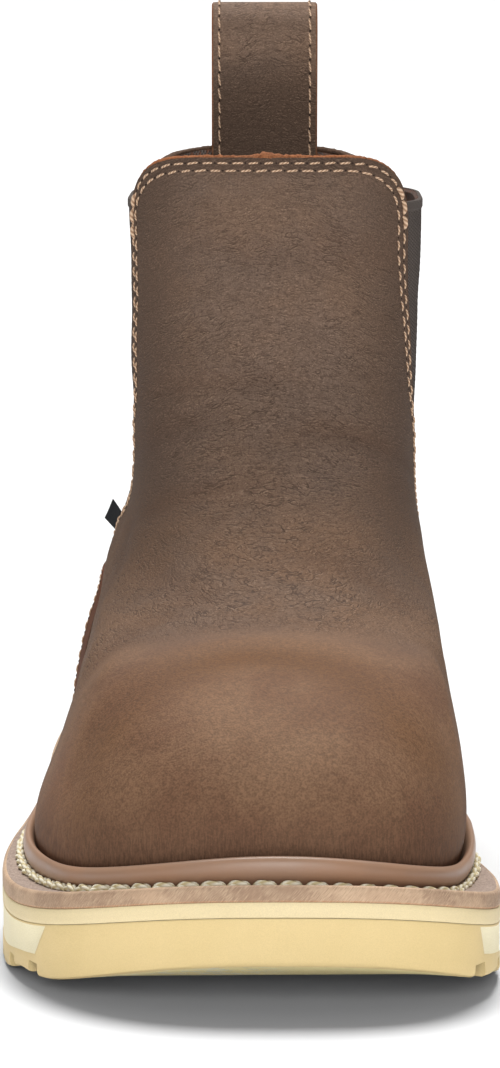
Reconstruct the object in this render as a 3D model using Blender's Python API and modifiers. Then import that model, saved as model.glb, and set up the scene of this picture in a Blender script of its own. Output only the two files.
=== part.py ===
# Chelsea work boot, right foot, standing empty on its sole
# Toe points to -Y, medial side is +X, the floor is z = 0
import math

import bmesh
import bpy
import numpy as np

MM = 0.001

# Main sizes, in metres
SOLE_LENGTH = 305 * MM
JOIN_GAP = 0.3 * MM
OUTSOLE_BALL = 13.4 * MM  # outsole thickness under the ball
MIDSOLE_THICK = 2.9 * MM
WELT_THICK = 3.9 * MM
HEEL_RAISE = 13 * MM  # how far the wedge lifts the heel above the ball
WEDGE_START_Y = -45 * MM
WEDGE_RUN = 130 * MM
SPRING_START_Y = -95 * MM
SPRING_POWER = 2.5
TOE_SPRING_UNDER = 12 * MM
TOE_SPRING_TOP = 9 * MM
ARCH_START_Y = 10 * MM
ARCH_END_Y = 64 * MM
ARCH_DEPTH = 3.5 * MM
HEEL_BEVEL_Y = 138 * MM
HEEL_BEVEL_RISE = 2.5 * MM

# Outsole side: lug band below, light panel set in above it
EDGE_ROUND = 1.0 * MM
LUG_BAND = 5.3 * MM
PANEL_INSET = 0.7 * MM
PANEL_FRONT_Y = -132 * MM
PANEL_BLEND = 6 * MM
PANEL_TOP_LIP = 0.9 * MM
LUG_PITCH = 15 * MM
LUG_NOTCH_WIDE = 5 * MM
LUG_NOTCH_HIGH = 3.2 * MM
LUG_NOTCH_DEEP = 13 * MM
LUG_FIRST_Y = {"m": -136.5 * MM, "l": -124.4 * MM}
LUG_LAST_Y = 136 * MM

# Upper, insole and welt bead
WALL = 2.6 * MM
INSOLE_THICK = 4 * MM
BEAD_TOE_WIDE = 4.8 * MM
BEAD_SIDE_WIDE = 2.6 * MM
BEAD_TOE_Y = -108 * MM
BEAD_TOE_RUN = 28 * MM
BEAD_HIGH = 6 * MM
BEAD_TOP_LEVEL = 0.9
WELT_GAP = 0.45 * MM  # between the welt and the upper
# Outer side of the bead from its foot to its crown: share of width, share of height
BEAD_PROFILE = [(1.0, 0.0), (0.96, 0.5), (0.72, 0.86)]
BEAD_CROWN = 0.3

# Collar and elastic gores, seen from the side
FRONT_TAB_Z = 177.6 * MM
BACK_TAB_Z = 175.5 * MM
GORE_TOP_Z = 166 * MM
# Each tab's top edge falls from its tip to the gore's edge in a blunt curve
FRONT_TIP_Y = 22 * MM
FRONT_DROP = 16 * MM
FRONT_POWER = 1.8
BACK_TIP_Y = 136 * MM
BACK_DROP = 17.5 * MM
BACK_POWER = {"medial": 1.2, "lateral": 2.1}
GORE_BOTTOM_Z = 79 * MM
GORE_TOP_WIDE = 66 * MM
GORE_BOTTOM_RADIUS = 18 * MM
GORE_FRONT_MEDIAL_Y = 33 * MM
GORE_FRONT_LATERAL_Y = 39 * MM
GORE_LEAN = {"medial": 0, "lateral": 4 * MM}  # how far the front edge leans forward at its foot
GORE_INSET = 0.5 * MM
GORE_THICK = 1.6 * MM

# Heel counter, standing proud of the upper
COUNTER_THICK = 1.4 * MM
COUNTER_FRONT_LOW_Y = 22 * MM
COUNTER_FRONT_HIGH_Y = 40 * MM
COUNTER_TOP_Z = 71 * MM
COUNTER_BACK_Z = 83 * MM
COUNTER_CORNER = 10 * MM

# Pull loop and side tab
LOOP_WIDE = 29 * MM
LOOP_THICK = 2.2 * MM
LOOP_SEAT = 0.45 * MM  # between a leg of the strap and the back tab
LOOP_X = 4 * MM
LOOP_LEG_BOTTOM_Z = 150 * MM
LOOP_FLARE_Z = 206 * MM
LOOP_RADIUS = 8.2 * MM
TAB_WIDE = 5 * MM
TAB_REACH = np.array([-2.7, 3.0, 3.3]) * MM  # from its sewn edge outwards, back and up
TAB_THICK = 1.2 * MM
TAB_Y = 44 * MM
TAB_Z = 82.7 * MM

SHAFT_X = 6 * MM  # plane between the lateral and the medial cutters
CUTTER_REACH = 90 * MM
CUTTER_OVERLAP = 1 * MM
CUTTER_TOP_Z = 230 * MM
CUTTER_AHEAD_Y = -40 * MM
CUTTER_BEHIND_Y = 190 * MM
NOSE_STEPS = 8
BODY_STEPS = 12
TAIL_STEPS = 8
FINE_STEPS = 901
LEVEL_STEP = 0.5
SHAFT_FIRST_LEVEL = 5  # section where the gores may start
COUNTER_LAST_LEVEL = 9
ROUND_STEPS = 11  # points along a half circle
CORNER_STEPS = 6  # points along a quarter circle
TAB_STEPS = 9  # points along a tab's blunt curve
COUNTER_FOOT_STEPS = 9
LOOP_COLUMNS = 9
LOOP_LEG_STEPS = 4
LOOP_FLARE_STEPS = 6

COLUMNS = ("front_y front_z back_y back_z nose tail tip_x ball_l waist_l heel_l "
           "ball_m waist_m heel_m blunt_l blunt_m").split()

# Sections of the upper from the sole edge up, in millimetres
# z of the first row is worked out from the sole below it
SECTIONS = [
    (-141, 0.0, 141.0, 0.0, 74, 46, 6, -48.5, -42.0, -31.5, 46.5, 35.0, 39.0, 2.30, 2.90),
    (-143.5, 34, 146.0, 41, 74, 48, 6, -49.8, -43.8, -34.5, 49.8, 38.5, 41.5, 2.40, 2.90),
    (-141, 47.0, 148.0, 52, 74, 50, 6, -44.4, -42.6, -35.0, 48.8, 41.0, 42.0, 2.50, 2.80),
    (-131, 58.5, 147.5, 60, 72, 50, 6, -40.0, -40.0, -34.5, 46.4, 42.5, 42.0, 2.50, 2.60),
    (-114, 66.0, 146.5, 66, 70, 50, 6, -37.6, -38.2, -33.5, 45.4, 43.2, 42.0, 2.40, 2.40),
    (-89, 70.5, 145.5, 73.0, 70, 50, 6, -36.0, -37.0, -32.8, 45.0, 43.4, 42.0, 2.20, 2.20),
    (-68, 73.5, 144.5, 79.0, 70, 51, 6, -34.4, -35.6, -32.2, 44.4, 43.2, 42.0, 2.10, 2.10),
    (-43, 81.0, 142.5, 87.0, 64, 52, 6, -31.7, -32.4, -31.0, 43.2, 42.8, 42.0, 2.10, 2.10),
    (-17, 94.0, 140.5, 98.0, 54, 54, 6, -29.8, -29.9, -29.8, 42.0, 42.0, 42.0, 2.30, 2.30),
    (4, 112.0, 138.5, 113.0, 46, 56, 6, -30.4, -30.4, -30.4, 42.8, 42.8, 42.8, 2.60, 2.60),
    (17, 138.0, 137.0, 138.0, 42, 58, 6, -31.7, -31.7, -31.7, 43.9, 43.9, 43.9, 2.90, 2.90),
    (22, 184.0, 136.0, 184.0, 40, 57, 6, -33.0, -33.0, -33.0, 45.6, 45.6, 45.6, 3.00, 3.00),
]
# Outline of the sole: swept back on the lateral side, trimmed in behind the ball on the medial side
SOLE_EDGE = {
    "nose_l": 76, "nose_m": 46, "tail": 50, "tip_x": 6,
    "ball_l": -57, "waist_l": -50.5, "heel_l": -40.5,
    "ball_m": 56, "waist_m": 46.5, "heel_m": 47.5,
    "trim_m": 51.8, "trim_y": -72,
}
SOLE_BLUNT = {"blunt_l": 2.5, "blunt_m": 2.9}
TAIL_BLUNT = 2.3
FOLLOW_LEVELS = 3  # sections that still bend with the sole below them

# Colour, roughness, metallic
MATERIALS = {
    "leather": ((0.115, 0.068, 0.043, 1), 0.62, 0.0),
    "counter_leather": ((0.150, 0.062, 0.036, 1), 0.58, 0.0),
    "welt_leather": ((0.290, 0.170, 0.100, 1), 0.55, 0.0),
    "cream_rubber": ((0.830, 0.640, 0.330, 1), 0.60, 0.0),
    "midsole_rubber": ((0.900, 0.740, 0.450, 1), 0.60, 0.0),
    "elastic": ((0.060, 0.050, 0.045, 1), 0.90, 0.0),
    "footbed": ((0.060, 0.052, 0.046, 1), 0.95, 0.0),
    "black_ribbon": ((0.020, 0.020, 0.020, 1), 0.70, 0.0),
}


def ease(t):
    t = np.clip(t, 0, 1)
    return t * t * (3 - 2 * t)


def toe_spring(y, rise):
    run = SPRING_START_Y + SOLE_LENGTH / 2
    return rise * np.clip((SPRING_START_Y - y) / run, 0, None) ** SPRING_POWER


def outsole_under(y):
    arch = np.clip((y - ARCH_START_Y) / (ARCH_END_Y - ARCH_START_Y), 0, 1)
    bevel = np.clip((y - HEEL_BEVEL_Y) / (SOLE_LENGTH / 2 - HEEL_BEVEL_Y), 0, 1)
    lift = ARCH_DEPTH * np.sin(math.pi * arch) ** 2 + HEEL_BEVEL_RISE * bevel ** 2
    return toe_spring(y, TOE_SPRING_UNDER) + lift


def outsole_top(y):
    wedge = HEEL_RAISE * ease((y - WEDGE_START_Y) / WEDGE_RUN)
    return OUTSOLE_BALL + toe_spring(y, TOE_SPRING_TOP) + wedge


def midsole_under(y):
    return outsole_top(y) + JOIN_GAP


def midsole_top(y):
    return midsole_under(y) + MIDSOLE_THICK


def seat(y):
    return midsole_top(y) + JOIN_GAP


def section_table():
    table = np.array(SECTIONS, float) * MM
    for side in ("l", "m"):
        table[:, COLUMNS.index("blunt_" + side)] /= MM
    for end in ("front", "back"):
        y = table[0, COLUMNS.index(end + "_y")]
        table[0, COLUMNS.index(end + "_z")] = seat(y)
    return table


TABLE = section_table()


def section_at(level):
    # Cubic between the rows, with slopes taken from the rows beside them
    slopes = np.gradient(TABLE, axis=0)
    i = min(int(level), len(TABLE) - 2)
    t = level - i
    row = (2 * t**3 - 3 * t**2 + 1) * TABLE[i] + (t**3 - 2 * t**2 + t) * slopes[i]
    row = row + (3 * t**2 - 2 * t**3) * TABLE[i + 1] + (t**3 - t**2) * slopes[i + 1]
    return dict(zip(COLUMNS, row))


def sole_section():
    row = {name: size * MM for name, size in SOLE_EDGE.items()}
    row.update(front_y=-SOLE_LENGTH / 2, back_y=SOLE_LENGTH / 2)
    row.update(SOLE_BLUNT)
    return row


def side_steps():
    nose = np.linspace(0, 1, NOSE_STEPS + 1)[:-1]
    body = np.linspace(1, 2, BODY_STEPS + 1)[:-1]
    tail = np.linspace(2, 3, TAIL_STEPS + 1)
    return np.concatenate([nose, body, tail])


def side_point(row, step, side):
    # One side of a section: round nose, ball to waist to heel, round tail
    ball, waist, heel = (row[name + side] for name in ("ball_", "waist_", "heel_"))
    nose = row.get("nose_" + side, row.get("nose"))
    tail_x = (row["heel_l"] + row["heel_m"]) / 2
    if step <= 1:
        turn = step * math.pi / 2
        power = 2 / row["blunt_" + side]
        x = row["tip_x"] + (ball - row["tip_x"]) * math.sin(turn) ** power
        return x, row["front_y"] + nose * (1 - max(math.cos(turn), 0) ** power)
    if step >= 2:
        turn = (3 - step) * math.pi / 2
        power = 2 / TAIL_BLUNT
        x = tail_x + (heel - tail_x) * math.sin(turn) ** power
        return x, row["back_y"] - row["tail"] * (1 - max(math.cos(turn), 0) ** power)
    start, end = row["front_y"] + nose, row["back_y"] - row["tail"]
    y = start + (end - start) * (step - 1)
    stations = [(start, ball), ((start + end) / 2, waist), (end, heel)]
    if "trim_" + side in row:
        stations.insert(1, (row["trim_y"], row["trim_" + side]))
    return eased_along(stations, y), y


def eased_along(stations, y):
    # Soft curve through the stations, flat at each of them
    for (y_from, x_from), (y_to, x_to) in zip(stations, stations[1:]):
        if y <= y_to:
            return x_from + (x_to - x_from) * ease((y - y_from) / (y_to - y_from))
    return stations[-1][1]


def plan_ring(row):
    # Medial side from toe to heel, then the lateral side back to the toe
    lateral = np.array([side_point(row, s, "l") for s in side_steps()])
    fine = np.array([side_point(row, s, "m") for s in np.linspace(0, 3, FINE_STEPS)])
    medial_x = np.interp(lateral[:, 1], fine[:, 1], fine[:, 0])
    medial = np.column_stack([medial_x, lateral[:, 1]])  # both sides share their stations along y
    return np.concatenate([medial, lateral[-2:0:-1]])


def upper_ring(level):
    row = section_at(level)
    plan = plan_ring(row)
    y = plan[:, 1]
    t = (y - row["front_y"]) / (row["back_y"] - row["front_y"])
    z = row["front_z"] + (row["back_z"] - row["front_z"]) * t
    front, back = seat(row["front_y"]), seat(row["back_y"])
    follow = max(0.0, 1 - level / FOLLOW_LEVELS)
    z = z + follow * (seat(y) - front - (back - front) * t)
    return np.column_stack([plan, z])


def plan_normals(ring):
    along = np.roll(ring, -1, axis=0) - np.roll(ring, 1, axis=0)
    normal = np.column_stack([along[:, 1], -along[:, 0]])
    return normal / np.linalg.norm(normal, axis=1)[:, None]


def moved_out(ring, distance):
    shift = plan_normals(ring) * distance
    out = ring.copy()
    out[:, :2] += shift
    return out


def upper_grid(first, last, out):
    # Rings of the upper's outer face, moved out along the face by a distance
    levels = np.arange(first, last + LEVEL_STEP / 2, LEVEL_STEP)
    grid = np.array([upper_ring(v) for v in levels])
    around = np.roll(grid, -1, axis=1) - np.roll(grid, 1, axis=1)
    up = np.gradient(grid, axis=0)
    normal = np.cross(around, up)
    normal /= np.linalg.norm(normal, axis=2)[:, :, None]
    return grid + normal * out


def collection_named(name):
    group = bpy.data.collections.new(name)
    bpy.context.scene.collection.children.link(group)
    return group


def material_named(name):
    colour, rough, metal = MATERIALS[name]
    made = bpy.data.materials.new(name)
    made.use_nodes = True
    shader = made.node_tree.nodes["Principled BSDF"]
    shader.inputs["Base Color"].default_value = colour
    shader.inputs["Roughness"].default_value = rough
    shader.inputs["Metallic"].default_value = metal
    made.diffuse_color = colour
    return made


def mesh_object(name, points, faces, material):
    mesh = bpy.data.meshes.new(name)
    mesh.from_pydata([tuple(map(float, p)) for p in points], [], faces)
    shape = bmesh.new()
    shape.from_mesh(mesh)
    bmesh.ops.recalc_face_normals(shape, faces=shape.faces)
    shape.to_mesh(mesh)
    shape.free()
    made = bpy.data.objects.new(name, mesh)
    if material:
        mesh.materials.append(materials[material])
        parts.objects.link(made)
    else:
        made.hide_render = True
        made.display_type = "WIRE"
        cutters.objects.link(made)
    return made


def ring_faces(rows, count):
    faces = []
    for r in range(rows - 1):
        for i in range(count):
            j = (i + 1) % count
            faces.append((r * count + i, r * count + j, (r + 1) * count + j, (r + 1) * count + i))
    return faces


def cap_faces(start, count):
    # Strips across a ring, from the medial side to the lateral side
    half = count // 2
    faces = [(start, start + 1, start + count - 1)]
    for i in range(1, half - 1):
        faces.append((start + i, start + i + 1, start + count - i - 1, start + count - i))
    faces.append((start + half - 1, start + half, start + half + 1))
    return faces


def solid_of_rings(name, rings, material):
    count = len(rings[0])
    faces = ring_faces(len(rings), count)
    faces += cap_faces(0, count) + cap_faces((len(rings) - 1) * count, count)
    return mesh_object(name, np.concatenate(rings), faces, material)


def open_shell(name, grid, thick, outward, material):
    rows, count = grid.shape[:2]
    made = mesh_object(name, grid.reshape(-1, 3), ring_faces(rows, count), material)
    solidify = made.modifiers.new("wall", "SOLIDIFY")
    solidify.thickness = thick
    solidify.offset = 1 if outward else -1
    solidify.use_even_offset = False
    return made


def cut(made, cutter, operation):
    step = made.modifiers.new(operation.lower(), "BOOLEAN")
    step.operation = operation
    step.solver = "EXACT"
    step.object = cutter


def side_prism(name, outline, x_from, x_to):
    # A prism along X over an outline of (y, z) points
    count = len(outline)
    points = [(x, y, z) for x in (x_from, x_to) for y, z in outline]
    faces = [tuple(range(count)), tuple(range(count, 2 * count))]
    faces += ring_faces(2, count)
    return mesh_object(name, points, faces, None)


def arc(centre, radius, start, end, steps):
    turns = np.radians(np.linspace(start, end, steps))
    return [(centre[0] + radius * math.cos(a), centre[1] + radius * math.sin(a)) for a in turns]


def gore_lower(front_y, side, inset):
    # Round bottom of a gore, from its front edge to its slanting rear edge
    base = (front_y - GORE_LEAN[side] + GORE_BOTTOM_RADIUS, GORE_BOTTOM_Z + GORE_BOTTOM_RADIUS)
    return arc(base, GORE_BOTTOM_RADIUS - inset, 180, 360, ROUND_STEPS)


def tab_turn(tip_y, edge_y, top_z, drop, power):
    # A tab's top edge from its tip to the edge of the gore
    turns = np.radians(np.linspace(90, 0, TAB_STEPS))
    out = np.clip(np.cos(turns), 0, 1) ** (2 / power)
    up = np.sin(turns) ** (2 / power)
    return [(tip_y + (edge_y - tip_y) * o, top_z - drop + drop * u) for o, u in zip(out, up)]


def collar_outline(front_y, side):
    rear_y = front_y + GORE_TOP_WIDE
    front_turn = tab_turn(FRONT_TIP_Y, front_y, FRONT_TAB_Z, FRONT_DROP, FRONT_POWER)
    rear_turn = tab_turn(BACK_TIP_Y, rear_y, BACK_TAB_Z, BACK_DROP, BACK_POWER[side])[::-1]
    start = [(CUTTER_AHEAD_Y, CUTTER_TOP_Z), (CUTTER_AHEAD_Y, FRONT_TAB_Z)]
    end = [(CUTTER_BEHIND_Y, BACK_TAB_Z), (CUTTER_BEHIND_Y, CUTTER_TOP_Z)]
    return start + front_turn + gore_lower(front_y, side, 0) + rear_turn + end


def gore_outline(front_y, side):
    # The collar cut's own edges, moved in by the joining gap and closed along the top
    rear_y = front_y + GORE_TOP_WIDE - JOIN_GAP
    front = [(front_y + JOIN_GAP, GORE_TOP_Z), (front_y + JOIN_GAP, FRONT_TAB_Z - FRONT_DROP)]
    rear = [(rear_y, BACK_TAB_Z - BACK_DROP), (rear_y, GORE_TOP_Z)]
    return front + gore_lower(front_y, side, JOIN_GAP) + rear


def counter_outline():
    clear = WELT_THICK + BEAD_HIGH + 4 * JOIN_GAP
    low_y = np.linspace(COUNTER_FRONT_LOW_Y, CUTTER_BEHIND_Y, COUNTER_FOOT_STEPS)
    low = [(y, float(seat(y)) + clear) for y in low_y[::-1]]
    corner = (COUNTER_FRONT_HIGH_Y + COUNTER_CORNER, COUNTER_TOP_Z - COUNTER_CORNER)
    turn = arc(corner, COUNTER_CORNER, 160, 90, CORNER_STEPS)
    return low + turn + [(CUTTER_BEHIND_Y, COUNTER_BACK_Z)]


def back_wall(x, z):
    # Depth of the shaft's back at a height, and how much a slanting wall thickens along Y
    low_z, high_z = TABLE[-2:, COLUMNS.index("back_z")]
    ring = upper_ring(len(TABLE) - 2 + (z - low_z) / (high_z - low_z))
    tail = ring[ring[:, 1] > ring[:, 1].mean()]
    tail = tail[np.argsort(tail[:, 0])]
    y = np.interp(x, tail[:, 0], tail[:, 1])
    slope = np.interp(x + MM, tail[:, 0], tail[:, 1]) - np.interp(x - MM, tail[:, 0], tail[:, 1])
    return y, math.hypot(1, slope / (2 * MM))


def make_outsole():
    row = sole_section()
    plan = plan_ring(row)
    y = plan[:, 1]
    under, top = outsole_under(y), outsole_top(y)
    panel = PANEL_INSET * ease((y - PANEL_FRONT_Y) / PANEL_BLEND)
    normals = plan_normals(plan)
    profile = [
        (0 * panel + EDGE_ROUND, under),
        (0 * panel, under + EDGE_ROUND),
        (0 * panel, under + LUG_BAND),
        (panel, under + LUG_BAND + PANEL_INSET),
        (panel, top - PANEL_TOP_LIP - PANEL_INSET),
        (0 * panel, top - PANEL_TOP_LIP),
        (0 * panel, top),
    ]
    rings = [np.column_stack([plan - normals * inset[:, None], z]) for inset, z in profile]
    made = solid_of_rings("outsole", rings, "cream_rubber")
    cut(made, lug_cutter(row), "DIFFERENCE")
    return made


def lug_cutter(row):
    # Notches along both sides, as one joined set of boxes
    points = []
    faces = []
    for side in ("m", "l"):
        fine = np.array([side_point(row, s, side) for s in np.linspace(0.2, 2.8, 400)])
        run = np.concatenate([[0], np.cumsum(np.linalg.norm(np.diff(fine, axis=0), axis=1))])
        inside = np.where((fine[:, 1] > LUG_FIRST_Y[side]) & (fine[:, 1] < LUG_LAST_Y))[0]
        for at in np.arange(run[inside[0]], run[inside[-1]], LUG_PITCH):
            k = int(np.clip(np.searchsorted(run, at), 1, len(fine) - 2))
            along = fine[k + 1] - fine[k - 1]
            along = along / np.linalg.norm(along)
            inward = np.array([-along[1], along[0]]) * (1 if side == "m" else -1)
            floor = float(outsole_under(fine[k, 1]))
            add_box(points, faces, fine[k], along, inward, floor)
    return mesh_object("lug_cutter", points, faces, None)


def add_box(points, faces, at, along, inward, floor):
    start = len(points)
    for z in (floor - LUG_NOTCH_HIGH, floor + LUG_NOTCH_HIGH):
        for a, b in ((-1, 0), (1, 0), (1, 1), (-1, 1)):
            depth = LUG_NOTCH_DEEP if b else -LUG_NOTCH_WIDE
            spot = at + along * a * LUG_NOTCH_WIDE / 2 + inward * depth
            points.append((spot[0], spot[1], z))
    for quad in ((0, 1, 2, 3), (4, 5, 6, 7), (0, 1, 5, 4), (1, 2, 6, 5), (2, 3, 7, 6), (3, 0, 4, 7)):
        faces.append(tuple(start + i for i in quad))


def make_midsole():
    plan = plan_ring(sole_section())
    y = plan[:, 1]
    rings = [np.column_stack([plan, f(y)]) for f in (midsole_under, midsole_top)]
    return solid_of_rings("midsole", rings, "midsole_rubber")


def make_welt():
    # One closed loop: flange out to the sole edge, storm bead against the upper
    edge = plan_ring(sole_section())
    base, middle, crown = (moved_out(upper_ring(level), WELT_GAP) for level in (0, 0.5, BEAD_TOP_LEVEL))
    base[:, 2] = seat(base[:, 1])
    low = seat(edge[:, 1])
    rings = [base, np.column_stack([edge, low]), np.column_stack([edge, low + WELT_THICK])]
    for wide, high in BEAD_PROFILE:
        out = wide * bead_wide(middle[:, 1:2])
        rings.append(above_seat(moved_out(middle, out), WELT_THICK + high * BEAD_HIGH))
    out = BEAD_CROWN * bead_wide(crown[:, 1:2])
    rings.append(above_seat(moved_out(crown, out), WELT_THICK + BEAD_HIGH))
    rings += [crown, middle]
    count = len(base)
    total = count * len(rings)
    faces = [tuple(i % total for i in face) for face in ring_faces(len(rings) + 1, count)]
    return mesh_object("welt", np.concatenate(rings), faces, "welt_leather")


def bead_wide(y):
    # The bead is widest round the toe
    return BEAD_SIDE_WIDE + (BEAD_TOE_WIDE - BEAD_SIDE_WIDE) * ease((BEAD_TOE_Y - y) / BEAD_TOE_RUN)


def above_seat(ring, height):
    return np.column_stack([ring[:, :2], seat(ring[:, 1]) + height])


def make_insole():
    plan = moved_out(upper_ring(0), -(WALL + 2 * JOIN_GAP))[:, :2]
    low = seat(plan[:, 1])
    rings = [np.column_stack([plan, low]), np.column_stack([plan, low + INSOLE_THICK])]
    return solid_of_rings("insole", rings, "footbed")


def make_upper():
    last = len(TABLE) - 1
    made = open_shell("upper", upper_grid(0, last, 0), WALL, False, "leather")
    for side, front_y, way in (("medial", GORE_FRONT_MEDIAL_Y, 1), ("lateral", GORE_FRONT_LATERAL_Y, -1)):
        start, end = SHAFT_X - way * CUTTER_OVERLAP, SHAFT_X + way * CUTTER_REACH
        cutter = side_prism("collar_cutter_" + side, collar_outline(front_y, side), start, end)
        cut(made, cutter, "DIFFERENCE")
        face = upper_grid(SHAFT_FIRST_LEVEL, last, -GORE_INSET)
        panel = open_shell("gore_" + side, face, GORE_THICK, False, "elastic")
        shape = side_prism("gore_shape_" + side, gore_outline(front_y, side), SHAFT_X, end)
        cut(panel, shape, "INTERSECT")
    return made


def make_heel_counter():
    face = upper_grid(0, COUNTER_LAST_LEVEL, JOIN_GAP)
    made = open_shell("heel_counter", face, COUNTER_THICK, True, "counter_leather")
    shape = side_prism("counter_shape", counter_outline(), -CUTTER_REACH, CUTTER_REACH)
    cut(made, shape, "INTERSECT")
    return made


def loop_path():
    # Half gap and height of the strap's middle, up the outer leg and down the inner one
    leg_gap = WALL / 2 + LOOP_SEAT + LOOP_THICK / 2
    up = []
    for z in np.linspace(LOOP_LEG_BOTTOM_Z, BACK_TAB_Z, LOOP_LEG_STEPS):
        up.append((leg_gap, z))
    for z in np.linspace(BACK_TAB_Z, LOOP_FLARE_Z, LOOP_FLARE_STEPS)[1:]:
        share = ease((z - BACK_TAB_Z) / (LOOP_FLARE_Z - BACK_TAB_Z))
        up.append((leg_gap + (LOOP_RADIUS - leg_gap) * share, z))
    turn = arc((0, LOOP_FLARE_Z), LOOP_RADIUS, 0, 180, ROUND_STEPS)[1:-1]
    return up + turn + [(-gap, z) for gap, z in up[::-1]]


def make_pull_loop():
    path = np.array(loop_path())
    along = np.gradient(path, axis=0)
    along /= np.linalg.norm(along, axis=1)[:, None]
    outward = np.column_stack([along[:, 1], -along[:, 0]])
    across = np.linspace(-LOOP_WIDE / 2, LOOP_WIDE / 2, LOOP_COLUMNS)
    skins = []
    for face in (1, -1):
        skin = []
        for (gap, z), normal in zip(path, outward):
            curve = 1 - ease((z - BACK_TAB_Z) / (LOOP_FLARE_Z - BACK_TAB_Z))
            centre, _ = back_wall(LOOP_X, min(z, BACK_TAB_Z))
            for w in across:
                wall, slant = back_wall(LOOP_X + w, min(z, BACK_TAB_Z))
                thicken = 1 + (slant - 1) * curve
                reach = gap - WALL / 2 + face * normal[0] * LOOP_THICK / 2
                y = centre + (wall - centre) * curve + reach * thicken
                skin.append((LOOP_X + w, y, z + face * normal[1] * LOOP_THICK / 2))
        skins.append(skin)
    columns, rows = len(across), len(path)
    shift = columns * rows
    faces = []
    for r in range(rows - 1):
        for c in range(columns - 1):
            quad = (r * columns + c, r * columns + c + 1, (r + 1) * columns + c + 1, (r + 1) * columns + c)
            faces.append(quad)
            faces.append(tuple(i + shift for i in quad[::-1]))
        for c in (0, columns - 1):
            a, b = r * columns + c, (r + 1) * columns + c
            faces.append((a, b, b + shift, a + shift))
    for r in (0, rows - 1):
        for c in range(columns - 1):
            a = r * columns + c
            faces.append((a, a + 1, a + 1 + shift, a + shift))
    return mesh_object("pull_loop", skins[0] + skins[1], faces, "leather")


def lateral_x(y, z):
    # Outer face of the lateral side at a depth and a height
    levels = np.arange(SHAFT_FIRST_LEVEL, len(TABLE) - 1, LEVEL_STEP)
    found = []
    for level in levels:
        ring = upper_ring(level)
        side = ring[len(ring) // 2:][::-1]
        found.append((np.interp(y, side[:, 1], side[:, 2]), np.interp(y, side[:, 1], side[:, 0])))
    heights, places = np.array(found).T
    return np.interp(z, heights, places)


def make_side_tab():
    # A folded ribbon end, sewn at the foot of the lateral gore and standing outwards, back and up
    points = []
    for share in (0, 1):
        for y in (TAB_Y - TAB_THICK / 2, TAB_Y + TAB_THICK / 2):
            for z in (TAB_Z - TAB_WIDE / 2, TAB_Z + TAB_WIDE / 2):
                root = np.array([lateral_x(y, z) - JOIN_GAP, y, z])
                points.append(tuple(root + share * TAB_REACH))
    quads = ((0, 1, 3, 2), (4, 5, 7, 6), (0, 1, 5, 4), (1, 3, 7, 5), (3, 2, 6, 7), (2, 0, 4, 6))
    return mesh_object("side_tab", points, quads, "black_ribbon")


for old in list(bpy.data.objects):
    bpy.data.objects.remove(old)
parts = collection_named("chelsea_work_boot")
cutters = collection_named("cutters")
materials = {name: material_named(name) for name in MATERIALS}

make_outsole()
make_midsole()
make_welt()
make_insole()
make_upper()
make_heel_counter()
make_pull_loop()
make_side_tab()
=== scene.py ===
import math

import bmesh
import bpy
import numpy as np
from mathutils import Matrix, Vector
from mathutils.bvhtree import BVHTree


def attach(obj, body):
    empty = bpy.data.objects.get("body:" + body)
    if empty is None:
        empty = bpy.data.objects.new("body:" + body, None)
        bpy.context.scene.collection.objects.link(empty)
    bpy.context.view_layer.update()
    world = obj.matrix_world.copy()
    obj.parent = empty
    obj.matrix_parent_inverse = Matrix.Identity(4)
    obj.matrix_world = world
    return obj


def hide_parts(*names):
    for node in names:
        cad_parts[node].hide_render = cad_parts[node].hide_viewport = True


# Chelsea work boot, right foot: toe to -Y, medial side +X, floor at z = 0
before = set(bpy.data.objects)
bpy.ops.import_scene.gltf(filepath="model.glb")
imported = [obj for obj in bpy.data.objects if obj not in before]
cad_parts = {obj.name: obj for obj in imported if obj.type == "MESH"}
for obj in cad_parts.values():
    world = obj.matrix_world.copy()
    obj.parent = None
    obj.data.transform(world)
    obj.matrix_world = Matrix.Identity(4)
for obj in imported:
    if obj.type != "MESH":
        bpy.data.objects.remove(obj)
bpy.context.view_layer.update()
print("frame loaded:", len(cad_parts), "nodes")

mm = 0.001  # shapes are worked out in millimetres
wayOf = {"M": 1, "L": -1}  # the medial and the lateral side along X
rng = np.random.default_rng(11)


# Form of the boot, the same sections as the solids

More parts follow.
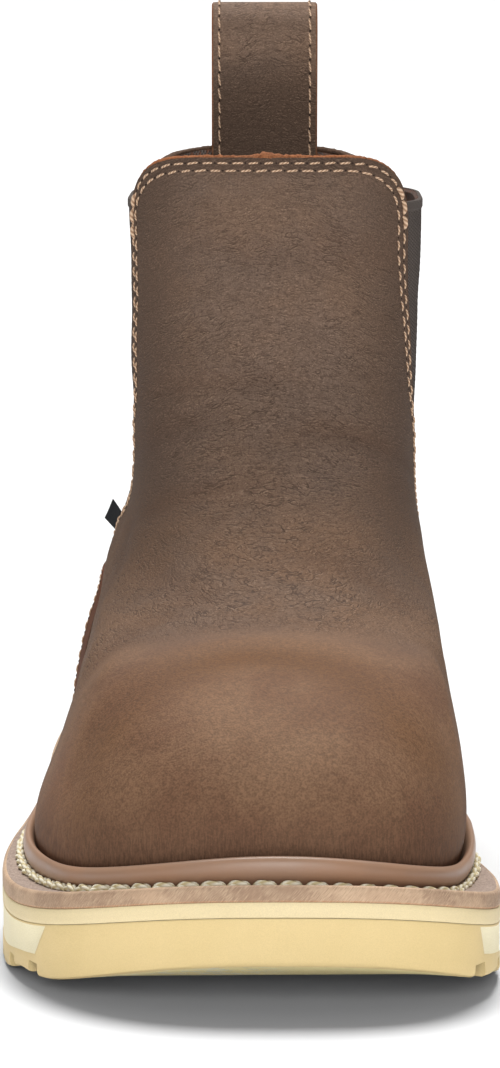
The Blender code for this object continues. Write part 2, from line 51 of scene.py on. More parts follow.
sole = {
    "length": 305, "ballThick": 13.4, "midThick": 2.9, "gap": 0.3,
    "heelRaise": 13, "wedgeStart": -45, "wedgeRun": 130,
    "springStart": -95, "springPower": 2.5, "springUnder": 12, "springTop": 9,
    "archStart": 10, "archEnd": 64, "archDepth": 3.5, "bevelStart": 138, "bevelRise": 2.5,
}
soleEdge = {
    "frontY": -152.5, "backY": 152.5, "noseL": 76, "noseM": 46, "tail": 50, "tipX": 6,
    "ballL": -57, "waistL": -50.5, "heelL": -40.5, "ballM": 56, "waistM": 46.5, "heelM": 47.5,
    "trimM": 51.8, "trimY": -72, "bluntL": 2.5, "bluntM": 2.9,
}
form = {
    "columns": ("frontY frontZ backY backZ nose tail tipX ballL waistL heelL "
                "ballM waistM heelM bluntL bluntM").split(),
    "rows": [
        (-141, 0.0, 141.0, 0.0, 74, 46, 6, -48.5, -42.0, -31.5, 46.5, 35.0, 39.0, 2.30, 2.90),
        (-143.5, 34, 146.0, 41, 74, 48, 6, -49.8, -43.8, -34.5, 49.8, 38.5, 41.5, 2.40, 2.90),
        (-141, 47.0, 148.0, 52, 74, 50, 6, -44.4, -42.6, -35.0, 48.8, 41.0, 42.0, 2.50, 2.80),
        (-131, 58.5, 147.5, 60, 72, 50, 6, -40.0, -40.0, -34.5, 46.4, 42.5, 42.0, 2.50, 2.60),
        (-114, 66.0, 146.5, 66, 70, 50, 6, -37.6, -38.2, -33.5, 45.4, 43.2, 42.0, 2.40, 2.40),
        (-89, 70.5, 145.5, 73.0, 70, 50, 6, -36.0, -37.0, -32.8, 45.0, 43.4, 42.0, 2.20, 2.20),
        (-68, 73.5, 144.5, 79.0, 70, 51, 6, -34.4, -35.6, -32.2, 44.4, 43.2, 42.0, 2.10, 2.10),
        (-43, 81.0, 142.5, 87.0, 64, 52, 6, -31.7, -32.4, -31.0, 43.2, 42.8, 42.0, 2.10, 2.10),
        (-17, 94.0, 140.5, 98.0, 54, 54, 6, -29.8, -29.9, -29.8, 42.0, 42.0, 42.0, 2.30, 2.30),
        (4, 112.0, 138.5, 113.0, 46, 56, 6, -30.4, -30.4, -30.4, 42.8, 42.8, 42.8, 2.60, 2.60),
        (17, 138.0, 137.0, 138.0, 42, 58, 6, -31.7, -31.7, -31.7, 43.9, 43.9, 43.9, 2.90, 2.90),
        (22, 184.0, 136.0, 184.0, 40, 57, 6, -33.0, -33.0, -33.0, 45.6, 45.6, 45.6, 3.00, 3.00),
    ],
    "tailBlunt": 2.3,
    "followRows": 3,  # rows that still bend with the sole below them
}


def ease(t):
    t = np.clip(t, 0, 1)
    return t * t * (3 - 2 * t)


def ramp(value, start, run):  # 0 to 1 over a run from its start; a negative run goes the other way
    return ease((value - start) / run)


def toeSpring(y, rise):
    run = sole["springStart"] + sole["length"] / 2
    return rise * np.clip((sole["springStart"] - y) / run, 0, None) ** sole["springPower"]


def outsoleUnder(y):
    arch = np.clip((y - sole["archStart"]) / (sole["archEnd"] - sole["archStart"]), 0, 1)
    bevel = np.clip((y - sole["bevelStart"]) / (sole["length"] / 2 - sole["bevelStart"]), 0, 1)
    lift = sole["archDepth"] * np.sin(math.pi * arch) ** 2 + sole["bevelRise"] * bevel ** 2
    return toeSpring(y, sole["springUnder"]) + lift


def outsoleTop(y):
    wedge = sole["heelRaise"] * ramp(y, sole["wedgeStart"], sole["wedgeRun"])
    return sole["ballThick"] + toeSpring(y, sole["springTop"]) + wedge


def seat(y):  # top of the midsole, where welt and upper stand
    return outsoleTop(y) + sole["midThick"] + 2 * sole["gap"]


def sectionTable():
    table = np.array(form["rows"], float)
    for end in ("front", "back"):
        y = table[0, form["columns"].index(end + "Y")]
        table[0, form["columns"].index(end + "Z")] = seat(y)
    return table


formTable = sectionTable()


def cubicThrough(table, at):  # soft curve through the rows of a table
    slopes = np.gradient(table, axis=0)
    i = np.clip(at.astype(int), 0, len(table) - 2)
    t = (at - i)[:, None]
    values = (2 * t**3 - 3 * t**2 + 1) * table[i] + (t**3 - 2 * t**2 + t) * slopes[i]
    values += (3 * t**2 - 2 * t**3) * table[i + 1] + (t**3 - t**2) * slopes[i + 1]
    return values


def rowsAt(levels):
    levels = np.atleast_1d(np.asarray(levels, float))
    return dict(zip(form["columns"], cubicThrough(formTable, levels).T))


def easedAlong(stations, y):  # soft curve through the stations, flat at each of them
    x = stations[0][1] + 0 * y
    for (yFrom, xFrom), (yTo, xTo) in zip(stations, stations[1:]):
        x = np.where(y > yFrom, xFrom + (xTo - xFrom) * ease((y - yFrom) / (yTo - yFrom)), x)
    return x


def sideCurve(rows, side, steps):  # round nose, ball to waist to heel, round tail
    r = {name: np.atleast_1d(value)[:, None] for name, value in rows.items()}
    ball, waist, heel = (r[name + side] for name in ("ball", "waist", "heel"))
    nose = r.get("nose" + side, r.get("nose"))
    tailX = (r["heelL"] + r["heelM"]) / 2
    turn = np.clip(steps, 0, 1) * math.pi / 2
    power = 2 / r["blunt" + side]
    noseX = r["tipX"] + (ball - r["tipX"]) * np.sin(turn) ** power
    noseY = r["frontY"] + nose * (1 - np.clip(np.cos(turn), 0, 1) ** power)
    start, end = r["frontY"] + nose, r["backY"] - r["tail"]
    bodyY = start + (end - start) * np.clip(steps - 1, 0, 1)
    stations = [(start, ball), ((start + end) / 2, waist), (end, heel)]
    if "trim" + side in r:
        stations.insert(1, (r["trimY"], r["trim" + side]))
    turn = np.clip(3 - steps, 0, 1) * math.pi / 2
    power = 2 / form["tailBlunt"]
    endX = tailX + (heel - tailX) * np.sin(turn) ** power
    endY = r["backY"] - r["tail"] * (1 - np.clip(np.cos(turn), 0, 1) ** power)
    x = np.where(steps <= 1, noseX, np.where(steps >= 2, endX, easedAlong(stations, bodyY)))
    y = np.where(steps <= 1, noseY, np.where(steps >= 2, endY, bodyY))
    return np.stack([x, y], axis=-1)


def arcLength(points):
    return np.concatenate([[0], np.cumsum(np.linalg.norm(np.diff(points, axis=0), axis=1))])


def columnsAt(where, run, values):
    return np.column_stack([np.interp(where, run, column) for column in values.T])


def resampled(points, at):  # points at given shares of a line's length
    run = arcLength(points)
    return columnsAt(np.asarray(at) * run[-1], run, points)


def planRings(rows, shares):  # medial side from toe to heel, then the lateral side back
    steps = np.linspace(0, 3, 400)
    rings = []
    for medial, lateral in zip(sideCurve(rows, "M", steps), sideCurve(rows, "L", steps)):
        rings.append(np.concatenate([resampled(medial, shares), resampled(lateral, shares)[-2:0:-1]]))
    return np.array(rings)


def formRings(levels, shares):
    rows = rowsAt(levels)
    plan = planRings(rows, shares)
    r = {name: value[:, None] for name, value in rows.items()}
    y = plan[:, :, 1]
    t = (y - r["frontY"]) / (r["backY"] - r["frontY"])
    z = r["frontZ"] + (r["backZ"] - r["frontZ"]) * t
    front, back = seat(r["frontY"]), seat(r["backY"])
    follow = np.clip(1 - np.atleast_1d(levels)[:, None] / form["followRows"], 0, None)
    z = z + follow * (seat(y) - front - (back - front) * t)
    return np.concatenate([plan, z[:, :, None]], axis=2)


def unit(vectors):
    return vectors / np.linalg.norm(vectors, axis=-1, keepdims=True)


def ringNormals(ring):
    along = np.roll(ring, -1, axis=0) - np.roll(ring, 1, axis=0)
    return unit(np.column_stack([along[:, 1], -along[:, 0]]))


def movedOut(ring, distance):
    out = ring.copy()
    out[:, :2] += ringNormals(ring) * np.reshape(distance, (-1, 1))
    return out


def gridNormals(grid):
    around = np.roll(grid, -1, axis=1) - np.roll(grid, 1, axis=1)
    return unit(np.cross(around, np.gradient(grid, axis=0)))


def fullTurn(count):
    return np.linspace(0, 2 * math.pi, count, endpoint=False)


# Mesh helpers

def gridFaces(rows, columns, closed=False):
    r, c = np.meshgrid(np.arange(rows - 1), np.arange(columns if closed else columns - 1), indexing="ij")
    a, b = r * columns + c, r * columns + (c + 1) % columns
    return np.stack([a, b, b + columns, a + columns], axis=-1).reshape(-1, 4)


def cornerUv(u, v):  # u and v given at each grid point, one more column where the grid is closed
    both = np.stack([u, v], axis=-1)
    return np.stack([both[:-1, :-1], both[:-1, 1:], both[1:, 1:], both[1:, :-1]], axis=2).reshape(-1, 2)


def meshPiece(name, points, faces, materials, index=None, uv=None, sharp=40):
    mesh = bpy.data.meshes.new(name)
    mesh.from_pydata((np.asarray(points) * mm).tolist(), [], [list(map(int, f)) for f in faces])
    for material in materials:
        mesh.materials.append(material)
    if index is not None:
        mesh.polygons.foreach_set("material_index", np.asarray(index, np.int32))
    if uv is not None:
        layer = mesh.uv_layers.new(name="UVMap")
        layer.data.foreach_set("uv", np.asarray(uv, np.float32).ravel())
    mesh.validate()
    mesh.shade_smooth()
    mesh.set_sharp_from_angle(angle=math.radians(sharp))
    piece = bpy.data.objects.new(name, mesh)
    bpy.context.scene.collection.objects.link(piece)
    return piece


def faceOut(piece):  # closed pieces get their faces turned outwards
    shape = bmesh.new()
    shape.from_mesh(piece.data)
    bmesh.ops.remove_doubles(shape, verts=shape.verts, dist=0.00001)
    bmesh.ops.recalc_face_normals(shape, faces=shape.faces)
    shape.to_mesh(piece.data)
    shape.free()


def applyModifiers(piece, sharp=40):
    graph = bpy.context.evaluated_depsgraph_get()
    made = bpy.data.meshes.new_from_object(piece.evaluated_get(graph))
    piece.modifiers.clear()
    piece.data = made
    made.shade_smooth()
    made.set_sharp_from_angle(angle=math.radians(sharp))


def cutWith(piece, cutter):
    step = piece.modifiers.new("cut", "BOOLEAN")
    step.operation = "DIFFERENCE"
    step.solver = "MANIFOLD"
    step.object = cutter


def slabPiece(name, outer, inner, materials, rimSlot=0, innerSlot=0, uv=None, sharp=50):
    # closed sheet between two grids of the same size
    rows, columns = outer.shape[:2]
    count = rows * columns
    face = gridFaces(rows, columns)
    faces = [face, face[:, ::-1] + count]
    border = np.concatenate([
        np.arange(columns), np.arange(1, rows) * columns + columns - 1,
        (rows - 1) * columns + np.arange(columns - 2, -1, -1), np.arange(rows - 2, 0, -1) * columns,
    ])
    after = np.roll(border, -1)
    faces.append(np.stack([after, border, border + count, after + count], axis=1))
    index = np.repeat([0, innerSlot, rimSlot], [len(face), len(face), len(border)])
    corners = None
    if uv is not None:
        flat = np.concatenate([uv.reshape(-1, 2)] * 2)
        corners = flat[np.concatenate(faces).ravel()]
    points = np.concatenate([outer.reshape(-1, 3), inner.reshape(-1, 3)])
    return meshPiece(name, points, np.concatenate(faces), materials, index, corners, sharp)


def markPoints(piece, name, values):
    layer = piece.data.attributes.new(name, "FLOAT", "POINT")
    layer.data.foreach_set("value", np.asarray(values, np.float32))


def pointsOf(piece):
    flat = np.empty(len(piece.data.vertices) * 3, np.float32)
    piece.data.vertices.foreach_get("co", flat)
    return flat.reshape(-1, 3) / mm


def seatPiece(piece, slot, *nodes):
    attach(piece, "root")
    if nodes:
        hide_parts(*nodes)
    print("made", piece.name, len(piece.data.polygons), "faces")


def smoothLine(points, count=60):  # a few given points, joined softly
    points = np.asarray(points, float)
    return cubicThrough(points, np.linspace(0, len(points) - 1, count))


def nearLine(points, line):  # distance to a line and the share of its length at the nearest spot
    best = np.full(len(points), 1e9)
    share = np.zeros(len(points))
    for k, spot in enumerate(line):
        d = ((points - spot) ** 2).sum(axis=1)
        closer = d < best
        best[closer] = d[closer]
        share[closer] = k / (len(line) - 1)
    return np.sqrt(best), share


# Shader helpers

def feed(tree, node, inputs):  # sockets are linked, plain values are set
    for name, value in inputs.items():
        if isinstance(value, bpy.types.NodeSocket):
            tree.links.new(value, node.inputs[name])
        else:
            node.inputs[name].default_value = value


def put(tree, kind, inputs=None, **settings):
    made = tree.nodes.new(kind)
    for name, value in settings.items():
        setattr(made, name, value)
    feed(tree, made, inputs or {})
    return made


def calc(tree, operation, a, b=0.5):
    return put(tree, "ShaderNodeMath", {0: a, 1: b}, operation=operation).outputs[0]


def times(tree, a, b):
    return calc(tree, "MULTIPLY", a, b)


def plus(tree, a, b):
    return calc(tree, "ADD", a, b)


def minus(tree, a, b):
    return calc(tree, "SUBTRACT", a, b)


def soften(tree, value, low, high, start=0.0, end=1.0):
    ranges = {"Value": value, "From Min": low, "From Max": high, "To Min": start, "To Max": end}
    return put(tree, "ShaderNodeMapRange", ranges, interpolation_type="SMOOTHSTEP").outputs["Result"]


def blend(tree, share, a, b):
    return put(tree, "ShaderNodeMix", {0: share, 6: a, 7: b}, data_type="RGBA").outputs[2]


def lit(tree, colour, value):  # the same colour, lighter or darker
    return put(tree, "ShaderNodeHueSaturation", {"Color": colour, "Value": value}).outputs[0]


def stretched(tree, vector, scale):
    return put(tree, "ShaderNodeMapping", {"Vector": vector, "Scale": scale}).outputs[0]


def axesOf(tree, vector):
    return put(tree, "ShaderNodeSeparateXYZ", {0: vector}).outputs


def noise(tree, vector, scale, detail=3.0, rough=0.55, warp=0.0):
    values = {"Vector": vector, "Scale": scale, "Detail": detail, "Roughness": rough, "Distortion": warp}
    return put(tree, "ShaderNodeTexNoise", values).outputs[0]


def mark(tree, name):
    return put(tree, "ShaderNodeAttribute", attribute_name=name).outputs["Fac"]


def tone(*screen):  # screen colour, 0 to 255, as a linear one
    shares = [value / 255 for value in screen]
    linear = [c / 12.92 if c <= 0.04045 else ((c + 0.055) / 1.055) ** 2.4 for c in shares]
    return (*linear, 1)


def newGroup(name, values, results):  # fed by a vector and numbers, puts out numbers
    tree = bpy.data.node_groups.new(name, "ShaderNodeTree")
    tree.interface.new_socket("Vector", in_out="INPUT", socket_type="NodeSocketVector")
    for label, value in values.items():
        socket = tree.interface.new_socket(label, in_out="INPUT", socket_type="NodeSocketFloat")
        socket.default_value = value
    for label in results:
        tree.interface.new_socket(label, in_out="OUTPUT", socket_type="NodeSocketFloat")
    return tree, tree.nodes.new("NodeGroupInput").outputs, tree.nodes.new("NodeGroupOutput")


def useGroup(tree, group, inputs):
    return put(tree, "ShaderNodeGroup", inputs, node_tree=group).outputs


def newMaterial(name):
    material = bpy.data.materials.new(name)
    material.use_nodes = True
    tree = material.node_tree
    return material, tree, tree.nodes["Principled BSDF"], put(tree, "ShaderNodeTexCoord").outputs


def finishShader(tree, shader, colour, rough, height, strength, depth, specular):
    bump = put(tree, "ShaderNodeBump", {"Height": height, "Strength": strength, "Distance": depth * mm})
    feed(tree, shader, {"Base Color": colour, "Roughness": rough, "Normal": bump.outputs[0]})
    shader.inputs["Specular IOR Level"].default_value = specular


# Shared effects

inMillimetres = (1000, 1000, 1000)


def grainGroup():  # hide grain: fine speckle, nap streaks, pebble and a net of short arching wrinkles
    results = ("Height", "Speck", "Mottle", "Line", "Lip")
    tree, given, out = newGroup("leatherGrain", {"Nap": 0.0, "Wrinkle": 1.0}, results)
    place = stretched(tree, given["Vector"], inMillimetres)
    fine = noise(tree, place, 2.2, 2.0, 0.6)
    coarse = noise(tree, place, 0.9, 3.0, 0.6)
    speck = plus(tree, times(tree, fine, 0.62), times(tree, coarse, 0.38))
    streak = noise(tree, stretched(tree, place, (2.6, 0.6, 0.45)), 1.0, 3.0, 0.6)
    napped = {0: given["Nap"], 2: speck, 3: streak}
    speckle = put(tree, "ShaderNodeMix", napped, data_type="FLOAT").outputs[0]
    parts = axesOf(tree, place)
    side = minus(tree, parts["X"], 6.0)
    # wrinkles hang over the instep and arch up the shaft
    bow = soften(tree, parts["Z"], 82.0, 106.0, -0.010, 0.009)
    arch = plus(tree, parts["Z"], times(tree, times(tree, side, side), bow))
    bent = plus(tree, arch, times(tree, noise(tree, place, 0.1, 2.0, 0.5), 5.0))
    flow = put(tree, "ShaderNodeCombineXYZ", {"X": parts["X"], "Y": parts["Y"], "Z": bent}).outputs[0]
    broken = soften(tree, noise(tree, place, 0.3, 3.0, 0.65), 0.34, 0.54)
    patch = soften(tree, noise(tree, place, 0.05, 3.0), 0.36, 0.60, 0.55, 1.0)
    runs = (  # long wrinkles, short ones between them, pebble
        ((0.19, 0.19, 0.8), 0.05, times(tree, broken, patch)),
        ((0.56, 0.56, 1.6), 0.08, soften(tree, coarse, 0.38, 0.58, 0.0, 0.8)),
        ((1.35, 1.35, 1.8), 0.2, soften(tree, coarse, 0.36, 0.62, 0.1, 0.55)),
    )
    nets = []
    for lower in (0.0, 0.27):  # the grooves, then the same net lower down for their lit lips
        found = []
        for scale, width, cover in runs:
            moved = {"Vector": flow, "Location": (0, 0, lower * scale[2]), "Scale": scale}
            moved = put(tree, "ShaderNodeMapping", moved).outputs[0]
            if scale[0] < 1:
                gap = calc(tree, "ABSOLUTE", minus(tree, noise(tree, moved, 1.0, 2.0, 0.55), 0.5))
            else:
                net = {"Vector": moved, "Scale": 1.0, "Randomness": 1.0}
                gap = put(tree, "ShaderNodeTexVoronoi", net, feature="DISTANCE_TO_EDGE").outputs["Distance"]
            found.append(times(tree, soften(tree, gap, 0.0, width, 1.0, 0.0), cover))
        deepest = calc(tree, "MAXIMUM", calc(tree, "MAXIMUM", found[0], found[1]), found[2])
        nets.append(times(tree, deepest, given["Wrinkle"]))
    line, lowered = nets
    feed(tree, out, {
        "Height": minus(tree, speckle, times(tree, line, 0.6)), "Speck": speckle, "Line": line,
        "Lip": calc(tree, "MAXIMUM", minus(tree, lowered, line), 0.0),
        "Mottle": noise(tree, place, 0.035, 5.0, 0.6),
    })
    return tree


def scratchGroup():  # buffing strokes and small nicks along one direction
    tree, given, out = newGroup("buffStrokes", {"Turn": 0.0, "Cover": 0.5}, ("Stroke", "Height"))
    turn = {"Vector": given["Vector"], "Angle": given["Turn"]}
    turned = put(tree, "ShaderNodeVectorRotate", turn, rotation_type="Z_AXIS").outputs[0]
    height = noise(tree, stretched(tree, turned, (0.5, 8.0, 1.0)), 1.0, 3.0, 0.6, 0.15)
    fade = times(tree, noise(tree, given["Vector"], 0.16, 2.0), 0.25)
    limit = minus(tree, 0.78, times(tree, given["Cover"], 0.3))
    stroke = soften(tree, plus(tree, height, fade), limit, plus(tree, limit, 0.14))
    feed(tree, out, {"Stroke": stroke, "Height": height})
    return tree


def rubberGroup():  # moulded rubber skin: fine orange peel with soft clouding
    tree, given, out = newGroup("rubberSkin", {"Pore": 1.0}, ("Height", "Cloud", "Speck"))
    place = stretched(tree, given["Vector"], inMillimetres)
    peel = noise(tree, place, 1.5, 3.0, 0.5)
    fine = noise(tree, place, 5.0, 2.0, 0.5)
    height = plus(tree, peel, times(tree, fine, times(tree, given["Pore"], 0.5)))
    feed(tree, out, {"Height": height, "Cloud": noise(tree, place, 0.06, 4.0), "Speck": fine})
    return tree


def twistGroup():  # plied thread seen along a stitch, from its own unwrapped length
    tree, given, out = newGroup("threadTwist", {"Turns": 4.0}, ("Height", "Shade"))
    parts = axesOf(tree, given["Vector"])
    slant = plus(tree, times(tree, parts["X"], given["Turns"]), times(tree, parts["Y"], 2.0))
    wave = calc(tree, "SINE", times(tree, slant, 2 * math.pi))
    ply = plus(tree, times(tree, wave, 0.5), 0.5)
    fibre = noise(tree, stretched(tree, given["Vector"], (12, 40, 1)), 1.0, 3.0)
    shade = times(tree, ply, plus(tree, fibre, 0.45))
    feed(tree, out, {"Height": plus(tree, ply, times(tree, fibre, 0.5)), "Shade": shade})
    return tree


def weaveGroup():  # crossed yarns, from coordinates counted in yarns
    tree, given, out = newGroup("crossedYarns", {"Loose": 0.3}, ("Height", "Shade"))
    wobble = noise(tree, given["Vector"], 0.8, 2.0)
    parts = axesOf(tree, given["Vector"])
    slip = times(tree, minus(tree, wobble, 0.5), given["Loose"])
    across, along = (
        calc(tree, "SINE", times(tree, plus(tree, parts[axis], slip), 2 * math.pi)) for axis in "XY"
    )
    height = plus(tree, times(tree, times(tree, across, along), 0.5), 0.5)
    fluff = plus(tree, noise(tree, given["Vector"], 3.0, 3.0), 0.4)
    feed(tree, out, {"Height": height, "Shade": times(tree, plus(tree, height, 0.35), fluff)})
    return tree


grain = grainGroup()
strokes = scratchGroup()
rubber = rubberGroup()
twist = twistGroup()
weave = weaveGroup()


# Materials

leatherTones = {
    "cool": (118, 98, 85), "warm": (120, 97, 81), "toe": (122, 92, 70), "pale": (132, 104, 82),
    "rubAndHighlight": (128, 94, 66), "valleyTintAndShade": (106, 75, 51), "low": (94, 69, 54), "line": (66, 51, 43),
    "edge": (84, 67, 56), "ochre": (126, 95, 71), "lip": (156, 131, 111), "red": (108, 76, 58),
}


def grainLook(tree, place, nap=0.0, wrinkle=0.0):
    return useGroup(tree, grain, {"Vector": place["Object"], "Nap": nap, "Wrinkle": wrinkle})


def makeLeather():
    material, tree, shader, place = newMaterial("oiledLeather")
    tones = {name: tone(*screen) for name, screen in leatherTones.items()}
    names = ("toe", "rubAndHighlight", "valleyTintAndShade", "pale", "low", "creaseShade", "edge", "wear", "ochrePatch", "paintedLight")
    toe, rubAndHighlight, valleyTintAndShade, pale, low, creaseShade, edge, wear, ochrePatch, paintedLight = (mark(tree, name) for name in names)
    look = grainLook(tree, place, times(tree, times(tree, toe, low), 0.8), wear)
    mottle, speck = look["Mottle"], look["Speck"]
    colour = blend(tree, soften(tree, mottle, 0.38, 0.64), tones["cool"], tones["warm"])
    blotch = soften(tree, mottle, 0.58, 0.38, 0.0, 0.55)
    colour = blend(tree, toe, colour, blend(tree, blotch, tones["toe"], tones["red"]))
    cloudy = soften(tree, mottle, 0.3, 0.7, 0.35, 1.0)
    layers = (  # what lies over the ground tone, from the lowest up
        # mottled ochre patches
        (times(tree, ochrePatch, soften(tree, mottle, 0.3, 0.6, 0.4, 1.0)), "ochre"),
        # painted highlight on the toe's top and over the loop's fold
        (times(tree, pale, cloudy), "pale"),
        # orange-brown band before the cap's edge, deepened with painted shade
        (times(tree, valleyTintAndShade, soften(tree, cloudy, 0.3, 1.0, 0.6, 1.0)), "valleyTintAndShade"),
        # rubbed paler at the cap's edge, painted highlight on fold ridges
        (times(tree, rubAndHighlight, soften(tree, speck, 0.25, 0.75, 0.3, 1.0)), "rubAndHighlight"),
        # painted shade low on the forefoot
        (times(tree, low, 0.75), "low"),
        # darker along the collar edges, with painted shade on the shaft's sides and below the loop's fold
        (times(tree, edge, 0.8), "edge"),
        # painted shade in the wrinkle grooves
        (times(tree, look["Line"], 0.8), "line"),
        (times(tree, look["Lip"], 0.55), "lip"),
        # painted shade in the troughs of the folds
        (times(tree, creaseShade, 0.4), "low"),
    )
    for share, name in layers:
        colour = blend(tree, share, colour, tones[name])
    patchEnds, speckEnds = (  # each end of the range, at the shaft and at the toe
        [soften(tree, toe, 0.0, 1.0, *end) for end in ends]
        for ends in (((0.96, 0.95), (1.04, 1.06)), ((0.80, 0.75), (1.20, 1.25)))
    )
    # the patches are lifted by painted highlight on the shaft's middle, the toe's left side and the loop's
    # fold
    patches = times(tree, soften(tree, mottle, 0.34, 0.66, *patchEnds), plus(tree, paintedLight, 1.0))
    lightness = times(tree, patches, soften(tree, speck, 0.36, 0.64, *speckEnds))
    rough = soften(tree, speck, 0.3, 0.7, 0.66, 0.86)
    finishShader(tree, shader, lit(tree, colour, lightness), rough, look["Height"], 0.75, 0.45, 0.12)
    return material


def makeCounterLeather():
    material, tree, shader, place = newMaterial("redBrownLeather")
    look = grainLook(tree, place, 0.0, 0.6)
    # red-brown leather of its own, made darker and redder with painted shade and a warm painted reflection
    colour = blend(tree, soften(tree, look["Mottle"], 0.35, 0.65), tone(100, 64, 47), tone(117, 76, 56))
    # painted shade in the wrinkle grooves
    colour = blend(tree, times(tree, look["Line"], 0.5), colour, tone(66, 40, 30))
    colour = lit(tree, colour, soften(tree, look["Speck"], 0.25, 0.75, 0.82, 1.16))
    finishShader(tree, shader, colour, 0.7, look["Height"], 0.45, 0.3, 0.15)
    return material


def makeBeadLeather():  # smooth satin storm bead, and the duller top of the welt outside it
    material, tree, shader, place = newMaterial("weltSatinLeather")
    look = grainLook(tree, place, 0.3)
    foot, flange = mark(tree, "foot"), mark(tree, "flange")
    colour = blend(tree, soften(tree, look["Mottle"], 0.35, 0.65), tone(160, 127, 104), tone(166, 127, 99))
    # painted shade in the groove at the bead's foot
    colour = blend(tree, times(tree, foot, 0.7), colour, tone(104, 70, 50))
    dusty = blend(tree, soften(tree, look["Speck"], 0.35, 0.65), tone(128, 109, 97), tone(170, 149, 134))
    colour = blend(tree, flange, colour, dusty)
    gloss = soften(tree, look["Mottle"], 0.3, 0.7, 0.36, 0.52)
    rough = calc(tree, "MAXIMUM", gloss, times(tree, flange, 0.8))
    finishShader(tree, shader, colour, rough, look["Height"], 0.2, 0.2, 0.5)
    return material


def makeWeltEdge():  # trimmed edge with slanting buff strokes both ways and a thin raw line at its foot
    material, tree, shader, place = newMaterial("weltTrimmedEdge")
    mapped = stretched(tree, place["UV"], (100, 100, 1))
    crossed = stretched(tree, mapped, (1, 1.3, 1))
    marks, other = (
        useGroup(tree, strokes, {"Vector": vector, "Turn": math.radians(turn), "Cover": cover})
        for vector, turn, cover in ((mapped, -50, 0.65), (crossed, 35, 0.3))
    )
    look = grainLook(tree, place, 0.4)
    colour = blend(tree, soften(tree, look["Mottle"], 0.38, 0.6), tone(164, 134, 110), tone(198, 166, 137))
    colour = blend(tree, soften(tree, marks["Height"], 0.48, 0.3, 0.0, 0.4), colour, tone(126, 98, 78))
    torn = soften(tree, look["Speck"], 0.35, 0.6, 0.2, 0.85)
    raw = times(tree, soften(tree, axesOf(tree, mapped)["Y"], 0.6, 0.2), torn)
    colour = blend(tree, raw, colour, tone(190, 138, 98))
    light = calc(tree, "MAXIMUM", marks["Stroke"], times(tree, other["Stroke"], 0.7))
    colour = blend(tree, times(tree, light, 0.42), colour, tone(228, 202, 170))
    rough = soften(tree, marks["Height"], 0.3, 0.7, 0.6, 0.8)
    finishShader(tree, shader, colour, rough, marks["Height"], 0.45, 0.25, 0.3)
    return material


def dullBounce(tree, colour):  # light bounced off the sole stays grey, so the floor's shade is not tinted
    bounced = put(tree, "ShaderNodeLightPath").outputs["Is Diffuse Ray"]
    return blend(tree, bounced, colour, tone(70, 70, 72))


def makeRubber(name, low, high, depth, pore, speck):
    material, tree, shader, place = newMaterial(name)
    look = useGroup(tree, rubber, {"Vector": place["Object"], "Pore": pore})
    colour = blend(tree, soften(tree, look["Cloud"], 0.35, 0.65), low, high)
    colour = lit(tree, colour, soften(tree, look["Speck"], 0.3, 0.7, 1 - speck, 1 + speck))
    finishShader(tree, shader, dullBounce(tree, colour), 0.62, look["Height"], 0.3, depth, 0.4)
    return material


def makeTread():  # underside: deep cream rubber with a few pale scuffed chips
    material, tree, shader, place = newMaterial("treadRubber")
    look = useGroup(tree, rubber, {"Vector": place["Object"], "Pore": 1.0})
    chips = noise(tree, stretched(tree, place["Object"], (260, 420, 420)), 1.0, 4.0, 0.7, 0.6)
    spot = axesOf(tree, place["Object"])
    scuffed = times(tree, soften(tree, spot["Y"], -0.118, -0.124), soften(tree, spot["X"], 0.012, -0.004))
    pale = times(tree, soften(tree, chips, 0.50, 0.58), scuffed)
    colour = blend(tree, look["Cloud"], tone(252, 233, 170), tone(254, 238, 180))
    colour = blend(tree, times(tree, pale, 0.8), colour, tone(240, 236, 214))
    bumps = plus(tree, look["Height"], pale)
    finishShader(tree, shader, dullBounce(tree, colour), 0.7, bumps, 0.5, 0.5, 0.3)
    return material


def makeThread(name, low, high, turns, depth):
    material, tree, shader, place = newMaterial(name)
    ply = useGroup(tree, twist, {"Vector": place["UV"], "Turns": turns})
    colour = blend(tree, ply["Shade"], low, high)
    finishShader(tree, shader, colour, 0.75, ply["Height"], 0.5, depth, 0.25)
    return material


def makeWoven(name, low, high, scale, loose, depth, space="Object", fleck=0.0):
    material, tree, shader, place = newMaterial(name)
    spot = place["UV" if space == "UV" else "Object"]
    if space == "Wall":  # upright cloth: yarns run round the boot and upwards
        parts = axesOf(tree, spot)
        around = plus(tree, parts["X"], parts["Y"])
        spot = put(tree, "ShaderNodeCombineXYZ", {"X": around, "Y": parts["Z"]}).outputs[0]
    yarns = useGroup(tree, weave, {"Vector": stretched(tree, spot, scale), "Loose": loose})
    colour = blend(tree, yarns["Shade"], low, high)
    flecks = soften(tree, noise(tree, place["Object"], 900.0, 2.0), 0.46, 0.58, 0.0, fleck)
    colour = blend(tree, flecks, colour, tone(136, 86, 62))
    finishShader(tree, shader, colour, 0.9, yarns["Height"], 0.7, depth, 0.15)
    return material


def makeRawEdge():  # cut hide edge, fibrous: rust along the top of the tabs, burnished brown elsewhere
    material, tree, shader, place = newMaterial("rawHideEdge")
    look = grainLook(tree, place)
    fibre = soften(tree, look["Speck"], 0.3, 0.7)
    rust = blend(tree, fibre, tone(120, 70, 44), tone(178, 116, 76))
    brown = blend(tree, fibre, tone(72, 54, 44), tone(110, 86, 70))
    dirt = soften(tree, look["Mottle"], 0.35, 0.65, 1.0, 0.55)
    colour = blend(tree, times(tree, mark(tree, "rust"), dirt), brown, rust)
    finishShader(tree, shader, colour, 0.9, look["Speck"], 0.8, 0.6, 0.15)
    return material


def makeNeedleHole():
    material, tree, shader, place = newMaterial("needleHoleShade")
    look = grainLook(tree, place)
    colour = blend(tree, look["Speck"], tone(40, 31, 27), tone(62, 48, 42))
    finishShader(tree, shader, colour, 0.9, look["Speck"], 0.3, 0.2, 0.1)
    return material


